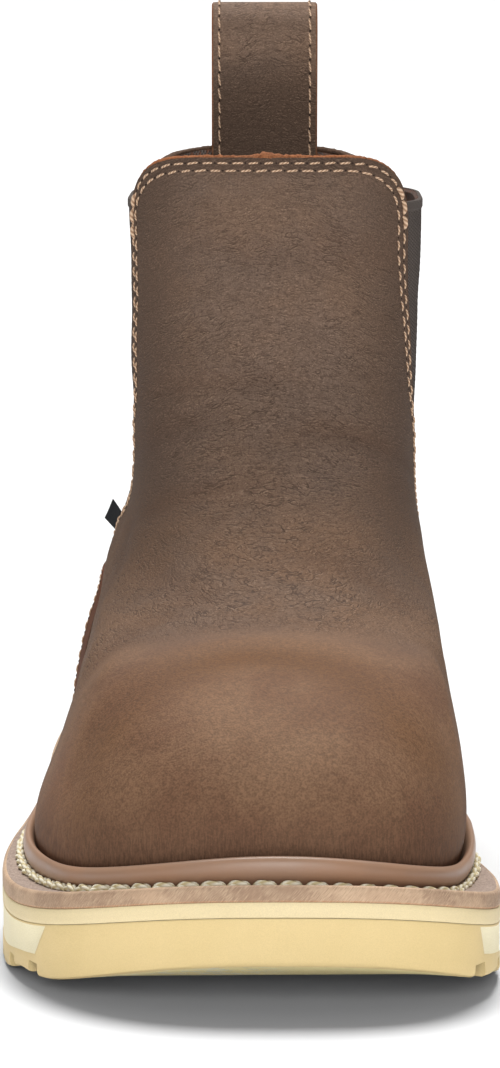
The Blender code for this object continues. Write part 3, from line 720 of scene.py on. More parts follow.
leather = makeLeather()
counterLeather = makeCounterLeather()
beadLeather = makeBeadLeather()
weltEdge = makeWeltEdge()
bumperRubber = makeRubber("creamBumperRubber", tone(231, 205, 147), tone(234, 208, 151), 0.25, 1.4, 0.035)
panelRubber = makeRubber("paleStippledRubber", tone(252, 240, 200), tone(254, 243, 206), 0.3, 2.0, 0.05)
midsoleRubber = makeRubber("creamMidsoleRubber", tone(234, 215, 169), tone(238, 219, 174), 0.3, 1.8, 0.05)
treadRubber = makeTread()
tabThread = makeThread("beigeSewingThread", tone(156, 120, 94), tone(228, 198, 168), 3.0, 0.05)
weltThread = makeThread("creamWeltThread", tone(204, 188, 142), tone(246, 240, 220), 2.0, 0.2)
liningKnit = makeWoven(
    "greyBrownLining", tone(50, 44, 42), tone(128, 117, 110), (700, 620, 1), 0.5, 0.5, "Wall", 0.7)
elasticRib = makeWoven("darkElastic", tone(36, 32, 30), tone(98, 89, 84), (1333, 1100, 1), 0.2, 0.3, "Wall")
footbedCloth = makeWoven("footbedCloth", tone(48, 42, 38), tone(96, 86, 78), (600, 600, 600), 0.4, 0.4)
blackRibbon = makeWoven("blackRibbon", tone(22, 22, 23), tone(52, 52, 54), (0.3, 22, 16), 0.1, 0.15, "UV")
rawEdge = makeRawEdge()
needleHole = makeNeedleHole()
print("materials ready")


# Upper: one skin of the form, folded, with a wall and a cut collar

upper = {
    "wall": 2.6, "side": 150, "rows": 140, "topLevel": 11, "dent": 0.16, "bound": 8, "calm": (-70, 60),
}
patina = {  # tuples give where a mark starts and the run over which it comes in
    "toe": (-55, -48), "low": (26, -20), "lowY": (20, -60), "wear": (-84, 20), "smooth": (125, 25),
    "ochrePatch": (104, -24), "glowX": (-33, -12), "glowY": (-50, -30), "glowZ": (66, -20),
    "side": (0.35, 0.6), "sideZ": (60, 40), "halfWide": 37, "rim": (5.0, -2.5), "rimZ": 70,
    "ridgeWide": 2.6, "bandAhead": 13, "bandWide": 9.0, "rust": 0.3,
    "paleSpot": (10, 26, 58, 11), "glowSpot": (8, 24, 126, 26),  # middle and reach along X, then along Z
}
collar = {
    "frontTab": 177.6, "backTab": 175.5, "goreTop": 166, "goreBottom": 79, "goreWide": 66, "goreRadius": 18,
    "frontM": 33, "frontL": 39, "leanM": 0, "leanL": 4, "axisX": 6, "axisY": 79,
    "frontTip": 22, "frontDrop": 16, "frontPowerM": 1.8, "frontPowerL": 1.8,
    "backTip": 136, "backDrop": 17.5, "backPowerM": 1.2, "backPowerL": 2.1,
}
capRidge = [
    (-43, -108, 42), (-39.2, -101.3, 51.7), (-31.1, -101.4, 62.3), (-22.4, -93.9, 67.7), (-11.1, -86, 70.3),
    (-0.3, -82, 71.4), (11.4, -84.9, 71), (18.4, -88.8, 70.1), (27.2, -99.3, 67.6), (33.3, -106.9, 64.1),
    (39.9, -109.3, 58.3), (45.7, -103.9, 50.3), (48, -106, 42),
]
folds = [  # points along the fold, half width, height (troughs are negative)
    (capRidge, 9.0, 0.45),
    ([(-41, -88, 50), (-36, -86, 62), (-27, -77, 69), (-14, -71, 72.5), (0, -67, 74), (14, -68, 73.5),
      (26, -75, 71.5), (36, -85, 67), (44, -90, 57)], 7.0, -0.4),
    ([(40, -75, 68), (45, -84, 62), (46.5, -96, 54), (47.5, -100, 45)], 3.6, 0.8),
    ([(43, -68, 67), (46.5, -78, 60), (48, -88, 50)], 3.6, -0.7),
    ([(36, -70, 71), (43, -66, 68.5), (46, -72, 62)], 4.0, 0.6),
    ([(-36, -89.6, 61.3), (-32, -84.8, 66.1), (-26.6, -72.1, 69.9)], 4.0, 0.6),
    ([(-39, -78, 58), (-35, -74, 66), (-26, -61, 72), (-14, -50, 76)], 5.0, -0.8),
    ([(-40, -68, 56), (-36, -62, 66), (-28, -48, 74), (-17, -40, 78)], 4.5, 0.6),
    ([(-21, -106, 65), (-32, -108, 59), (-38, -110, 50), (-43, -112, 40)], 5.0, -0.5),
    ([(42, -52, 70), (31, -38, 78), (19, -34, 83), (6, -33, 84)], 5.5, -0.7),
    ([(43, -40, 74), (33, -26, 84), (20, -22, 89), (6, -21, 91)], 5.0, 0.6),
    ([(-29, -10, 80), (-17, -41, 78), (-5, -54, 77)], 5.0, -0.5),
    ([(-31, 20, 84), (-25, 3, 90), (-17, -4, 94), (-8, -8, 97), (6, -9, 99)], 3.6, -0.7),
    ([(-30, 12, 80), (-25, -4, 86), (-18, -14, 88), (-8, -18, 92)], 3.6, 0.55),
    ([(8, 0, 108), (17, 5, 111), (26, 8, 108), (33, 14, 103), (38, 26, 98)], 3.6, -0.75),
    ([(12, 2, 104), (26, 4, 102), (35, 12, 96), (40, 24, 90)], 4.0, 0.6),
    ([(-28, 30, 104), (-25, 25, 106), (-15, 12, 111), (-5, 8, 114)], 4.0, -0.6),
    ([(-26, 32, 116), (-11, 17, 121), (0, 13, 122), (12, 12, 124)], 3.2, -0.6),
    ([(-22, 28, 120), (-11, 17, 125), (-5, 15, 127), (8, 15, 132)], 3.0, 0.45),
    ([(13, 21, 160), (24, 25, 156), (35, 37, 150)], 4.5, -0.5),
    ([(-18, 24, 158), (0, 20, 154), (15, 21, 153), (26, 26, 149)], 4.5, -0.4),
    ([(-20, 26, 140), (-4, 18, 143), (14, 19, 141), (28, 26, 138)], 5.0, 0.4),
    ([(-33, 60, 78), (-36, 48, 70), (-38, 34, 60)], 5.0, -0.6),
    ([(-30.5, 26, 88), (-34, 13, 77.5), (-36.5, 6, 71), (-37, -6, 66)], 3.0, 0.4),
    ([(-28, 16, 88), (-31.5, 2, 79), (-34.5, -10, 72), (-37, -16, 66)], 4.0, -0.7),
    ([(-31, 58, 92), (-34, 40, 85), (-35.5, 26, 80), (-36.5, 14, 76)], 6.5, 1.8),
    ([(43, 56, 80), (44, 42, 70), (44.5, 26, 60)], 5.0, -0.6),
    ([(42.5, 120, 96), (41.5, 134, 102), (22, 139, 106), (4, 140, 107),
      (-14, 138, 106), (-29, 130, 101)], 4.0, -0.6),
    ([(42.8, 118, 112), (40, 130, 117), (22, 137, 120), (4, 138, 121),
      (-14, 136, 120), (-29, 128, 116)], 5.0, -0.4),
]


def evenLevels(first, last, count):  # levels spread evenly over the skin
    fine = np.linspace(first, last, 300)
    rings = formRings(fine, np.linspace(0, 1, 40))
    run = np.concatenate([[0], np.cumsum(np.linalg.norm(np.diff(rings, axis=0), axis=2).mean(axis=1))])
    return np.interp(np.linspace(0, run[-1], count), run, fine)


def treeOf(grid):
    faces = gridFaces(*grid.shape[:2], closed=True)
    return BVHTree.FromPolygons(grid.reshape(-1, 3).tolist(), faces.tolist())


def foldRelief(points, tree):  # soft troughs and ridges, and how deep the troughs are, for painted shade in them
    relief = np.zeros(len(points))
    shade = np.zeros(len(points))
    for line, halfWide, height in folds:
        snapped = np.array([tree.find_nearest(Vector(p))[0] for p in smoothLine(line)])
        distance, share = nearLine(points, snapped)
        ends = np.sin(math.pi * np.clip(share, 0.02, 0.98)) ** 0.6
        bump = height * np.exp(-(distance / halfWide) ** 2) * ends
        relief += bump
        shade += np.clip(-bump, 0, None)
    return relief, shade


def skinGrid():
    levels = evenLevels(0, upper["topLevel"], upper["rows"])
    grid = formRings(levels, np.linspace(0, 1, upper["side"] + 1))
    points = grid.reshape(-1, 3)
    relief, _ = foldRelief(points, treeOf(grid))
    x, y, z = points.T
    dents = upper["dent"] * np.sin(x / 5.3 + 1.3 * np.sin(z / 9)) * np.sin(z / 4.4 + y / 11)
    calm = 0.25 + 0.75 * ramp(y, *upper["calm"])  # the stiffened toe is smoother
    relief += dents * calm
    free = ramp(z - seat(y), upper["bound"], upper["bound"])  # held flat behind the bead
    return grid + gridNormals(grid) * (relief * free).reshape(grid.shape[:2])[:, :, None]


skin = skinGrid()
skinTree = treeOf(skin)
print("skin shaped", skin.shape)


def arcPoints(centre, radius, start, end, count):
    turns = np.radians(np.linspace(start, end, count))
    return np.column_stack([centre[0] + radius * np.cos(turns), centre[1] + radius * np.sin(turns)])


def tabEdge(end, side, offset):  # outline of a tab: tip, half length, top, drop to its corner, roundness
    front = collar["front" + side]
    edge = front - offset if end == "front" else front + collar["goreWide"] + offset
    drop = collar[end + "Drop"] - offset
    tip, top = collar[end + "Tip"], collar[end + "Tab"] - offset
    return tip, edge - tip, top, drop, collar[end + "Power" + side]


def tabHeight(end, side, offset, y):
    tip, half, top, drop, power = tabEdge(end, side, offset)
    share = np.clip((y - tip) / half, 0, 1)
    return top - drop + drop * (1 - share**power) ** (1 / power)


def tabCorner(end, side, offset, turns):  # from the tab's side edge round towards its tip
    tip, half, top, drop, power = tabEdge(end, side, offset)
    turns = np.radians(turns)
    y = tip + half * np.cos(turns) ** (2 / power)
    return np.column_stack([y, top - drop + drop * np.sin(turns) ** (2 / power)])


def goreSides(side, offset, reach=50):  # a gore's front corner and edge, round foot, rear edge and corner
    radius = collar["goreRadius"]
    footZ = collar["goreBottom"] + radius
    front = tabCorner("front", side, offset, np.linspace(reach, 0, 12))
    middle = collar["front" + side] - collar["lean" + side] + radius
    foot = arcPoints((middle, footZ), radius + offset, 180, 360, 24)
    back = tabCorner("back", side, offset, np.linspace(0, reach, 12))
    runs = [np.linspace(a, b, 24)[1:-1] for a, b in ((front[-1], foot[0]), (foot[-1], back[0]))]
    return np.concatenate([front, runs[0], foot, runs[1], back])


def collarCutter(side):
    outline = goreSides(side, 0, 90)
    start = [(-40, 230), (-40, collar["frontTab"])]
    end = [(190, collar["backTab"]), (190, 230)]
    outline = np.concatenate([start, outline, end])
    middle, way = collar["axisX"], wayOf[side]
    count = len(outline)
    points = [(x, y, z) for x in (middle - way, middle + way * 90) for y, z in outline]
    faces = [list(range(count)), list(range(2 * count - 1, count - 1, -1))]
    faces += [[i, (i + 1) % count, (i + 1) % count + count, i + count] for i in range(count)]
    slots = np.full(len(faces), 2)
    cutter = meshPiece("collarCutter" + side, points, faces, [leather, liningKnit, rawEdge], slots)
    faceOut(cutter)
    return cutter


def hitSide(side, y, z):
    way = wayOf[side]
    return skinTree.ray_cast(Vector((way * 200, y, z)), Vector((-way, 0, 0)))[:2]


def hitRound(axis, turn, z):  # from outside towards an upright axis
    away = Vector((math.sin(turn), math.cos(turn), 0))
    return skinTree.ray_cast(Vector((axis[0], axis[1], z)) + away * 200, -away)[:2]


def turnOf(axis, spot):
    return math.atan2(spot[0] - axis[0], spot[1] - axis[1])


def sweepRound(start, end, tab, offset, count):  # along a tab's top edge from one corner to the other
    axis = (collar["axisX"], collar["axisY"])
    a, b = turnOf(axis, start), turnOf(axis, end)
    if tab == "front":
        a, b = a % (2 * math.pi), b % (2 * math.pi)
    spots = []
    for turn in np.linspace(a, b, count)[1:-1]:
        rough = hitRound(axis, turn, collar[tab + "Tab"] - 3)[0]
        side = "M" if rough[0] > collar["axisX"] else "L"
        spots.append(hitRound(axis, turn, float(tabHeight(tab, side, offset, rough[1]))))
    return spots


def collarLoop(offset):  # closed line round the collar and both gores, moved into the leather
    medial = [hitSide("M", y, z) for y, z in goreSides("M", offset)]
    lateral = [hitSide("L", y, z) for y, z in goreSides("L", offset)][::-1]
    back = sweepRound(medial[-1][0], lateral[0][0], "back", offset, 50)
    front = sweepRound(lateral[-1][0], medial[0][0], "front", offset, 70)
    both = medial + back + lateral + front
    return np.array([p for p, _ in both]), np.array([n for _, n in both])


def sideShadeOf(points):  # painted shade: darker towards the sides of the shaft, which turn away from the light
    out = np.abs(points[:, 0] - collar["axisX"]) / patina["halfWide"]
    return ramp(out, *patina["side"]) * ramp(points[:, 2], *patina["sideZ"])


def patchAt(points, spot):  # soft round patch seen from the front
    x, wide, z, high = spot
    return np.exp(-(((points[:, 0] - x) / wide) ** 2) - ((points[:, 2] - z) / high) ** 2)


def makeUpper():
    faces = gridFaces(*skin.shape[:2], closed=True)
    piece = meshPiece("upperLeather", skin.reshape(-1, 3), faces, [leather, liningKnit, rawEdge])
    wall = piece.modifiers.new("wall", "SOLIDIFY")
    wall.thickness = upper["wall"] * mm
    wall.offset = -1
    wall.material_offset = 1
    wall.material_offset_rim = 2
    cutters = [collarCutter(side) for side in "ML"]
    for cutter in cutters:
        cutWith(piece, cutter)
    applyModifiers(piece)
    for cutter in cutters:
        bpy.data.objects.remove(cutter)
    print("upper cut:", len(faces), "skin faces,", len(piece.data.polygons), "after")
    points = pointsOf(piece)
    x, y, z = points.T
    toe = ramp(y, *patina["toe"])
    tracks = []  # the cap's edge, and the band before it: its own orange-brown, deepened with painted shade of the hollow
    for ahead, wide in ((0, patina["ridgeWide"]), (patina["bandAhead"], patina["bandWide"])):
        line = smoothLine(np.array(capRidge) - (0, ahead, 0))
        snapped = np.array([skinTree.find_nearest(Vector(p))[0] for p in line])
        near, share = nearLine(points, snapped)
        tracks.append(np.exp(-(near / wide) ** 2) * np.sin(math.pi * np.clip(share, 0.05, 0.95)) ** 0.5)
    relief, shade = foldRelief(points, skinTree)
    # rubbed paler along the cap's edge, with painted highlight on the tops of the fold ridges
    rubAndHighlight = 0.3 * tracks[0] + 0.2 * np.clip(relief, 0, 1)
    # painted highlight on the upper middle of the toe
    pale = patchAt(points, patina["paleSpot"]) * toe
    # painted shade: darker low on the forefoot, near the bead
    low = ramp(z - seat(y), *patina["low"]) * ramp(y, *patina["lowY"])
    wear = ramp(y, *patina["wear"]) * (1 - 0.15 * ramp(z, *patina["smooth"])) * (1 - 0.35 * sideShadeOf(points))
    # mottled ochre patches on the vamp and lower shaft, not on the toe
    ochrePatch = (1 - toe) * ramp(z, *patina["ochrePatch"])
    paintedLight = 0.21 * patchAt(points, patina["glowSpot"])  # painted highlight on the shaft's middle, then painted rim light on the toe's left side
    paintedLight += 0.22 * ramp(x, *patina["glowX"]) * ramp(y, *patina["glowY"]) * ramp(z, *patina["glowZ"])
    line, _ = collarLoop(0)
    line = resampled(np.concatenate([line, line[:1]]), np.linspace(0, 1, 500))
    # edge mark: darker along the collar and gore edges, and painted shade towards the shaft's sides
    edge = np.zeros(len(points))
    high = z > patina["rimZ"]
    edge[high] = ramp(nearLine(points[high], line)[0], *patina["rim"])
    edge = np.maximum(edge, sideShadeOf(points))
    marks = {
        "rust": np.full(len(points), patina["rust"]), "toe": toe, "rubAndHighlight": np.clip(rubAndHighlight, 0, 1),
        "valleyTintAndShade": tracks[1], "pale": 0.7 * pale, "low": low, "creaseShade": np.clip(shade, 0, 1),
        "edge": edge, "wear": wear, "ochrePatch": 0.7 * ochrePatch, "paintedLight": paintedLight,
    }
    for name, values in marks.items():
        markPoints(piece, name, values)
    seatPiece(piece, "leather", "upper")


makeUpper()


def evenLoop(points, normals, pitch, closed=True):  # spots at an even pitch along a line, with frames
    if closed:
        points, normals = (np.concatenate([v, v[:1]]) for v in (points, normals))
    run = arcLength(points)
    count = max(2, int(round(run[-1] / pitch)))
    at = (np.arange(count) + 0.5) * run[-1] / count
    near = pitch / 4
    spots, ups, ahead, behind = (
        columnsAt(where, run, values)
        for where, values in ((at, points), (at, normals), (at + near, points), (at - near, points))
    )
    along = unit(ahead - behind)
    ups = unit(ups - along * (ups * along).sum(axis=1)[:, None])
    return spots, along, np.cross(ups, along), ups


def makeRawRim():  # rough cut edge of the hide along the collar and the gores
    rim = {
        "pitch": 0.6, "high": 0.58, "sides": 10, "rough": 0.2, "proud": 0.08, "backY": 90, "rustZ": (170, 6),
        "tuft": (3.7, 0.7, 2.2), "tuftY": 60,  # place along X, height, width
    }
    spots, _, across, up = evenLoop(*collarLoop(0), rim["pitch"])
    where, tall, wide = rim["tuft"]
    frayed = 1 + 0.3 * np.sin(np.arange(len(spots)) / 6.1) * np.sin(np.arange(len(spots)) / 17.3)
    tuft = tall * np.exp(-(((spots[:, 0] - where) / wide) ** 2)) * (spots[:, 1] < rim["tuftY"])
    turns = fullTurn(rim["sides"])
    half = upper["wall"] / 2
    centre = spots - up * half
    ragged = np.where(spots[:, 1] < rim["backY"], 1, 0.4)[:, None, None]  # the back tab is cut cleaner
    rough = rng.normal(0, rim["rough"], (len(spots), rim["sides"], 1)) * ragged
    grid = centre[:, None] + up[:, None] * (np.cos(turns) * (half + rim["proud"]))[None, :, None]
    reach = (rim["high"] * frayed + tuft)[:, None, None] * (1 + rough)
    grid = grid + across[:, None] * np.sin(turns)[None, :, None] * reach
    faces = gridFaces(len(spots) + 1, rim["sides"], closed=True) % (len(spots) * rim["sides"])
    piece = meshPiece("collarRawEdge", grid.reshape(-1, 3), faces, [rawEdge], sharp=80)
    faceOut(piece)
    made = pointsOf(piece)
    markPoints(piece, "rust", ramp(made[:, 2], *rim["rustZ"]) * ease((100 - made[:, 1]) / 60 + 0.35))
    seatPiece(piece, "leather")


makeRawRim()


# Sewing thread

sewing = {
    "length": 3.1, "pitch": 3.85, "radius": 0.28, "crown": 0.22, "sink": 0.4, "slant": 6, "sway": 2.5,
    "sides": 8, "rings": 11, "rowIn": (1.5, 3.4), "hole": 0.27, "holeSides": 10,
    "tackPitch": 3.7, "tackLength": 4.0, "tackRadius": 0.62, "tackCrown": 0.42,
    "tackM": (170.0, 158.0), "tackL": (168.0, 154.5),  # top and bottom of the back tacks
}


def tubePart(u, length, side, rise, thick, wide, high, sides):  # capped tube along a stitch, unwrapped
    rings = len(u)
    turns = fullTurn(sides)
    points = np.column_stack([
        np.repeat(u * length / 2, sides),
        (side[:, None] + np.outer(thick, np.cos(turns)) * wide).ravel(),
        (rise[:, None] + np.outer(thick, np.sin(turns)) * high).ravel(),
    ])
    faces = gridFaces(rings, sides, closed=True).tolist()
    faces += [list(range(sides))[::-1], list(range((rings - 1) * sides, rings * sides))]
    share = np.tile(np.linspace(0, 1, sides + 1), (rings, 1))
    uv = cornerUv(np.tile(u[:, None] * 0.5 + 0.5, (1, sides + 1)), share)
    return points, faces, np.concatenate([uv, np.zeros((2 * sides, 2))])


def stitchShape(length, radius, crown):
    u = np.linspace(-1, 1, sewing["rings"])
    thick = radius * np.clip(1 - np.abs(u) ** 5, 0.12, 1) ** 0.5
    rise = crown - (crown + sewing["sink"]) * np.abs(u) ** 2.6
    return tubePart(u, length, 0 * u, rise, thick, 1, 0.9, sewing["sides"])


def placeMany(shape, spots, along, across, up, slant=0.0, sway=0.0):  # copies of a small shape on frames
    local, faces, uv = shape
    angle = np.radians(slant + rng.normal(0, sway + 1e-6, len(spots)))[:, None]
    ahead = along * np.cos(angle) + across * np.sin(angle)
    beside = across * np.cos(angle) - along * np.sin(angle)
    size = 1 + rng.normal(0, 0.05, (len(spots), 1, 1))
    points = spots[:, None] + local[None, :, :1] * size * ahead[:, None]
    points = points + local[None, :, 1:2] * beside[:, None] + local[None, :, 2:] * up[:, None]
    shift = np.arange(len(spots)) * len(local)
    allFaces = [[i + s for i in face] for s in shift for face in faces]
    return points.reshape(-1, 3), allFaces, np.tile(uv, (len(spots), 1))


def joinParts(parts):
    points, faces, corners, start = [], [], [], 0
    for partPoints, partFaces, partUv in parts:
        points.append(partPoints)
        faces += [[i + start for i in face] for face in partFaces]
        corners.append(partUv)
        start += len(partPoints)
    return np.concatenate(points), faces, np.concatenate(corners)


def holeShape():  # low dark button under a needle hole: painted shade of the hole
    count, radius = sewing["holeSides"], sewing["hole"]
    turns = fullTurn(count)
    points = np.concatenate([
        np.column_stack([np.cos(turns) * radius * long, np.sin(turns) * radius * wide, np.full(count, z)])
        for long, wide, z in ((1.25, 1, -0.15), (1, 0.75, 0.07))
    ])
    faces = gridFaces(2, count, closed=True).tolist()
    faces += [list(range(count, 2 * count)), list(range(count))[::-1]]
    return points, faces, np.zeros((6 * count, 2))


threadParts, holeParts = [], []


def sewRow(points, normals, closed=True, pitch=sewing["pitch"], size=1.0, lift=0.0,
           slant=sewing["slant"], crown=1.0):
    spots, along, across, up = evenLoop(points + normals * lift, normals, pitch, closed)
    length = sewing["length"] * pitch / sewing["pitch"]
    shape = stitchShape(length, sewing["radius"] * size, sewing["crown"] * crown)
    threadParts.append(placeMany(shape, spots, along, across, up, slant, sewing["sway"]))
    between = spots + along * pitch / 2
    if lift == 0:
        between = np.array([skinTree.find_nearest(Vector(p))[0] for p in between])
    holeParts.append(placeMany(holeShape(), between, along, across, up))


for rowOffset in sewing["rowIn"]:
    sewRow(*collarLoop(rowOffset))


def sewBackTack(side):  # a few heavy overstitches on the outer row beside the gore's top
    points, normals = collarLoop(sewing["rowIn"][0])
    x, y, z = points.T
    top, bottom = sewing["tack" + side]
    keep = (wayOf[side] * (x - collar["axisX"]) > 0) & (y < collar["front" + side] + 2)
    keep &= (z < top) & (z > bottom)
    order = np.argsort(-z[keep])
    frames = evenLoop(points[keep][order], normals[keep][order], sewing["tackPitch"], False)
    shape = stitchShape(sewing["tackLength"], sewing["tackRadius"], sewing["tackCrown"])
    threadParts.append(placeMany(shape, *frames, 3, 5))


sewBackTack("M")
sewBackTack("L")
print("collar sewn")


# Elastic gores

gore = {
    "rib": 0.75, "ribHigh": 0.09, "perRib": 5, "rows": 40, "footHigh": 16, "footRows": 14, "thick": 1.5,
    "inset": 0.5, "insetM": 0.5, "insetL": 1.3, "insetZ": (118, 30), "tuck": 1.0,
    "hem": 2.6, "hemThick": 0.35,
}


def tabEdgeAt(end, side, z):  # how far a tab's edge has curved away from the gore at a height
    _, half, top, drop, power = tabEdge(end, side, 0)
    share = np.clip((z - top + drop) / drop, 0, 1)
    return half * ((1 - share**power) ** (1 / power) - 1)


def goreSpan(side, z):
    front, radius = collar["front" + side], collar["goreRadius"]
    footY, footZ = front - collar["lean" + side], collar["goreBottom"] + radius
    if z < footZ:
        half = math.sqrt(max(radius**2 - (footZ - z) ** 2, 0.01))
        return footY + radius - half, footY + radius + half
    tops = [collar[end + "Tab"] - collar[end + "Drop"] for end in ("front", "back")]
    low = np.interp(z, (footZ, tops[0]), (footY, front))
    high = np.interp(z, (footZ, tops[1]), (footY + 2 * radius, front + collar["goreWide"]))
    return low + tabEdgeAt("front", side, z), high + tabEdgeAt("back", side, z)


def makeGore(side, name, node):
    count = int(collar["goreWide"] / gore["rib"]) * gore["perRib"] + 1
    share = np.linspace(0, 1, count)
    coarse = share[:: gore["perRib"]]
    bottom, hemZ = collar["goreBottom"], collar["goreTop"] - gore["hem"]
    heights = np.concatenate([
        np.linspace(bottom + 0.05, bottom + gore["footHigh"], gore["footRows"])[:-1],
        np.linspace(bottom + gore["footHigh"], hemZ - 0.4, gore["rows"])[:-1],
        hemZ + np.array([-0.3, 0.05, 0.35, 0.8, 1.4, 1.9, 2.3, 2.5]),
    ])
    outer, inner, uv = [], [], []
    for z in heights:
        low, high = goreSpan(side, z)
        ys = np.linspace(low - gore["tuck"], high + gore["tuck"], count)
        hits = [hitSide(side, y, z) for y in ys[:: gore["perRib"]]]
        base, up = (columnsAt(share, coarse, np.array(values)) for values in zip(*hits))
        ribs = gore["ribHigh"] * np.cos(2 * math.pi * (ys - low) / gore["rib"])
        below = collar["goreTop"] - z
        hem = gore["hemThick"] * ease((gore["hem"] + 0.2 - below) / 0.6) * ease(below / 0.7 + 0.25)
        inset = gore["inset"] + (gore["inset" + side] - gore["inset"]) * ramp(z, *gore["insetZ"])
        rise = -inset + ribs * (1 if below > gore["hem"] else 0.2) + hem
        outer.append(base + up * rise[:, None])
        back = inset + gore["thick"] * (0.55 if below < 0.5 else 1)
        inner.append(base - up * back)
        uv.append(np.column_stack([ys / 10, np.full(count, z / 10)]))
    sheets = [np.array(outer), np.array(inner)]
    piece = slabPiece(name, *sheets, [elasticRib, liningKnit], 0, 1, np.array(uv), 70)
    faceOut(piece)
    seatPiece(piece, "elastic", node)


makeGore("M", "goreElasticMedial", "gore_medial")
makeGore("L", "goreElasticLateral", "gore_lateral")


# Heel counter: overlay with rounded edges and two rows of stitches

counter = {
    "thick": 1.9, "sink": 0.4, "frontLow": 22, "frontHigh": 40, "top": 71, "back": 83, "corner": 9,
    "clear": 11.2, "axis": (4, 70), "columns": 150, "rows": 40, "rowIn": (2.4, 4.6),
    "cornerRise": (0.62, 0.38), "backRise": (72, 76), "probeZ": 60, "stand": 0.25, "bevel": 1.4,
    "bevelRows": 48, "stitchLift": 0.2, "stitchSize": 0.8, "stitchCrown": 0.5,
    "long": 95, "high": 44,  # half its length and its height, to place the sewing rows
}


def counterSpot(side, share, rise):
    # share 0 at the front edge and 1 at the middle of the heel, rise 0 at the bead and 1 at the top edge
    front = counter["frontLow"] + (counter["frontHigh"] - counter["frontLow"]) * rise
    roundOff = counter["corner"] * (1 - math.sqrt(max(1 - ramp(rise, *counter["cornerRise"]) ** 2, 0)))
    foot = float(seat(front)) + counter["clear"]
    height = foot + rise * (counter["top"] - foot)
    startTurn = turnOf(counter["axis"], hitSide(side, front + roundOff, height)[0])
    turn = startTurn * (1 - share)
    y = hitRound(counter["axis"], turn, counter["probeZ"])[0][1]
    foot = float(seat(y)) + counter["clear"]
    top = counter["top"] + (counter["back"] - counter["top"]) * ramp(y, *counter["backRise"])
    return hitRound(counter["axis"], turn, foot + rise * (top - foot))


def counterGrid():
    shares = np.linspace(0, 1, counter["columns"] // 2 + 1) ** 0.85
    edge = np.array([0, 0.012, 0.03])
    rises = np.concatenate([edge, np.linspace(0.06, 0.94, counter["rows"] - 6), 1 - edge[::-1]])
    grid, normals = [], []
    for rise in rises:
        row = [counterSpot("L", s, rise) for s in shares]
        row += [counterSpot("M", s, rise) for s in shares[-2::-1]]
        grid.append([p for p, _ in row])
        normals.append([n for _, n in row])
    return np.array(grid), np.array(normals), rises


def makeCounter():
    grid, normals, rises = counterGrid()
    column = np.arange(grid.shape[1])
    fromEnds = np.minimum(column, column[::-1])[None, :]
    fromEdge = np.minimum(fromEnds, np.minimum(rises, 1 - rises)[:, None] * counter["bevelRows"])
    bevel = np.clip(fromEdge / counter["bevel"], 0, 1)
    thick = counter["thick"] * np.sqrt(np.clip(1 - (1 - bevel) ** 2, 0.03, 1))
    outer = grid + normals * (counter["stand"] + thick)[:, :, None]
    inner = grid - normals * counter["sink"]
    piece = slabPiece("heelCounterLeather", outer, inner, [counterLeather, rawEdge], 1, 0, None, 60)
    faceOut(piece)
    seatPiece(piece, "counter_leather", "heel_counter")
    for inset in counter["rowIn"]:
        line = []
        share, rise = inset / counter["long"], 1 - inset / counter["high"]
        for side in "LM":
            way = [counterSpot(side, share, r) for r in np.linspace(0.04, rise, 22)]
            way += [counterSpot(side, s, rise) for s in np.linspace(share, 1, 40)[1:]]
            line += way if side == "L" else way[-2::-1]
        points, normals = (np.array(v) for v in zip(*line))
        lift = counter["thick"] + counter["stitchLift"]
        sewRow(points, normals, False, size=counter["stitchSize"], lift=lift, crown=counter["stitchCrown"])


makeCounter()


# Pull loop: strap folded over the back tab

loop = {
    "wide": 29, "thick": 2.2, "seat": 0.45, "x": 4, "legBottom": 150, "flare": 206, "radius": 8.2,
    "rowIn": 2.1, "rawStrip": 0.45, "pitch": 3.9, "flatIn": 2.2, "flatColumns": 15, "bevel": 0.7,
    "wear": 0.9, "rust": 0.6, "darkZ": (186, 20), "glowZ": (190, 16), "paleZ": (192, 16),
}


def loopPath():  # half gap and height of the strap's middle line
    gap = upper["wall"] / 2 + loop["seat"] + loop["thick"] / 2
    legs = [(gap, z) for z in np.linspace(loop["legBottom"], collar["backTab"], 10)]
    for z in np.linspace(collar["backTab"], loop["flare"], 20)[1:]:
        share = ramp(z, collar["backTab"], loop["flare"] - collar["backTab"])
        legs.append((gap + (loop["radius"] - gap) * share, z))
    turn = arcPoints((0, loop["flare"]), loop["radius"], 0, 180, 26)[1:-1]
    return np.concatenate([legs, turn, [(-g, z) for g, z in legs[::-1]]])


def loopSkin(lift, across):  # grid of the strap at a height above its middle surface
    path = loopPath()
    along = unit(np.gradient(path, axis=0))
    outward = np.column_stack([along[:, 1], -along[:, 0]])
    grid = np.zeros((len(path), len(across), 3))
    for i, ((gap, z), normal) in enumerate(zip(path, outward)):
        low = min(z, collar["backTab"])
        follow = 1 - ramp(z, collar["backTab"], loop["flare"] - collar["backTab"])
        centre = hitBack(loop["x"], low)[0]
        for j, w in enumerate(across):
            spot, slant = hitBack(loop["x"] + w, low)
            thicken = 1 + (slant - 1) * follow
            reach = gap - upper["wall"] / 2 + normal[0] * lift[j]
            ripple = 0.25 * math.sin(z / 7 + w / 9) * (1 - follow)
            y = centre + (spot - centre) * follow + reach * thicken + ripple
            grid[i, j] = (loop["x"] + w, y, z + normal[1] * lift[j])
    return grid


def hitBack(x, z):
    spot, normal, _, _ = skinTree.ray_cast(Vector((x, 300, z)), Vector((0, -1, 0)))
    return spot[1], 1 / max(abs(normal[1]), 0.3)


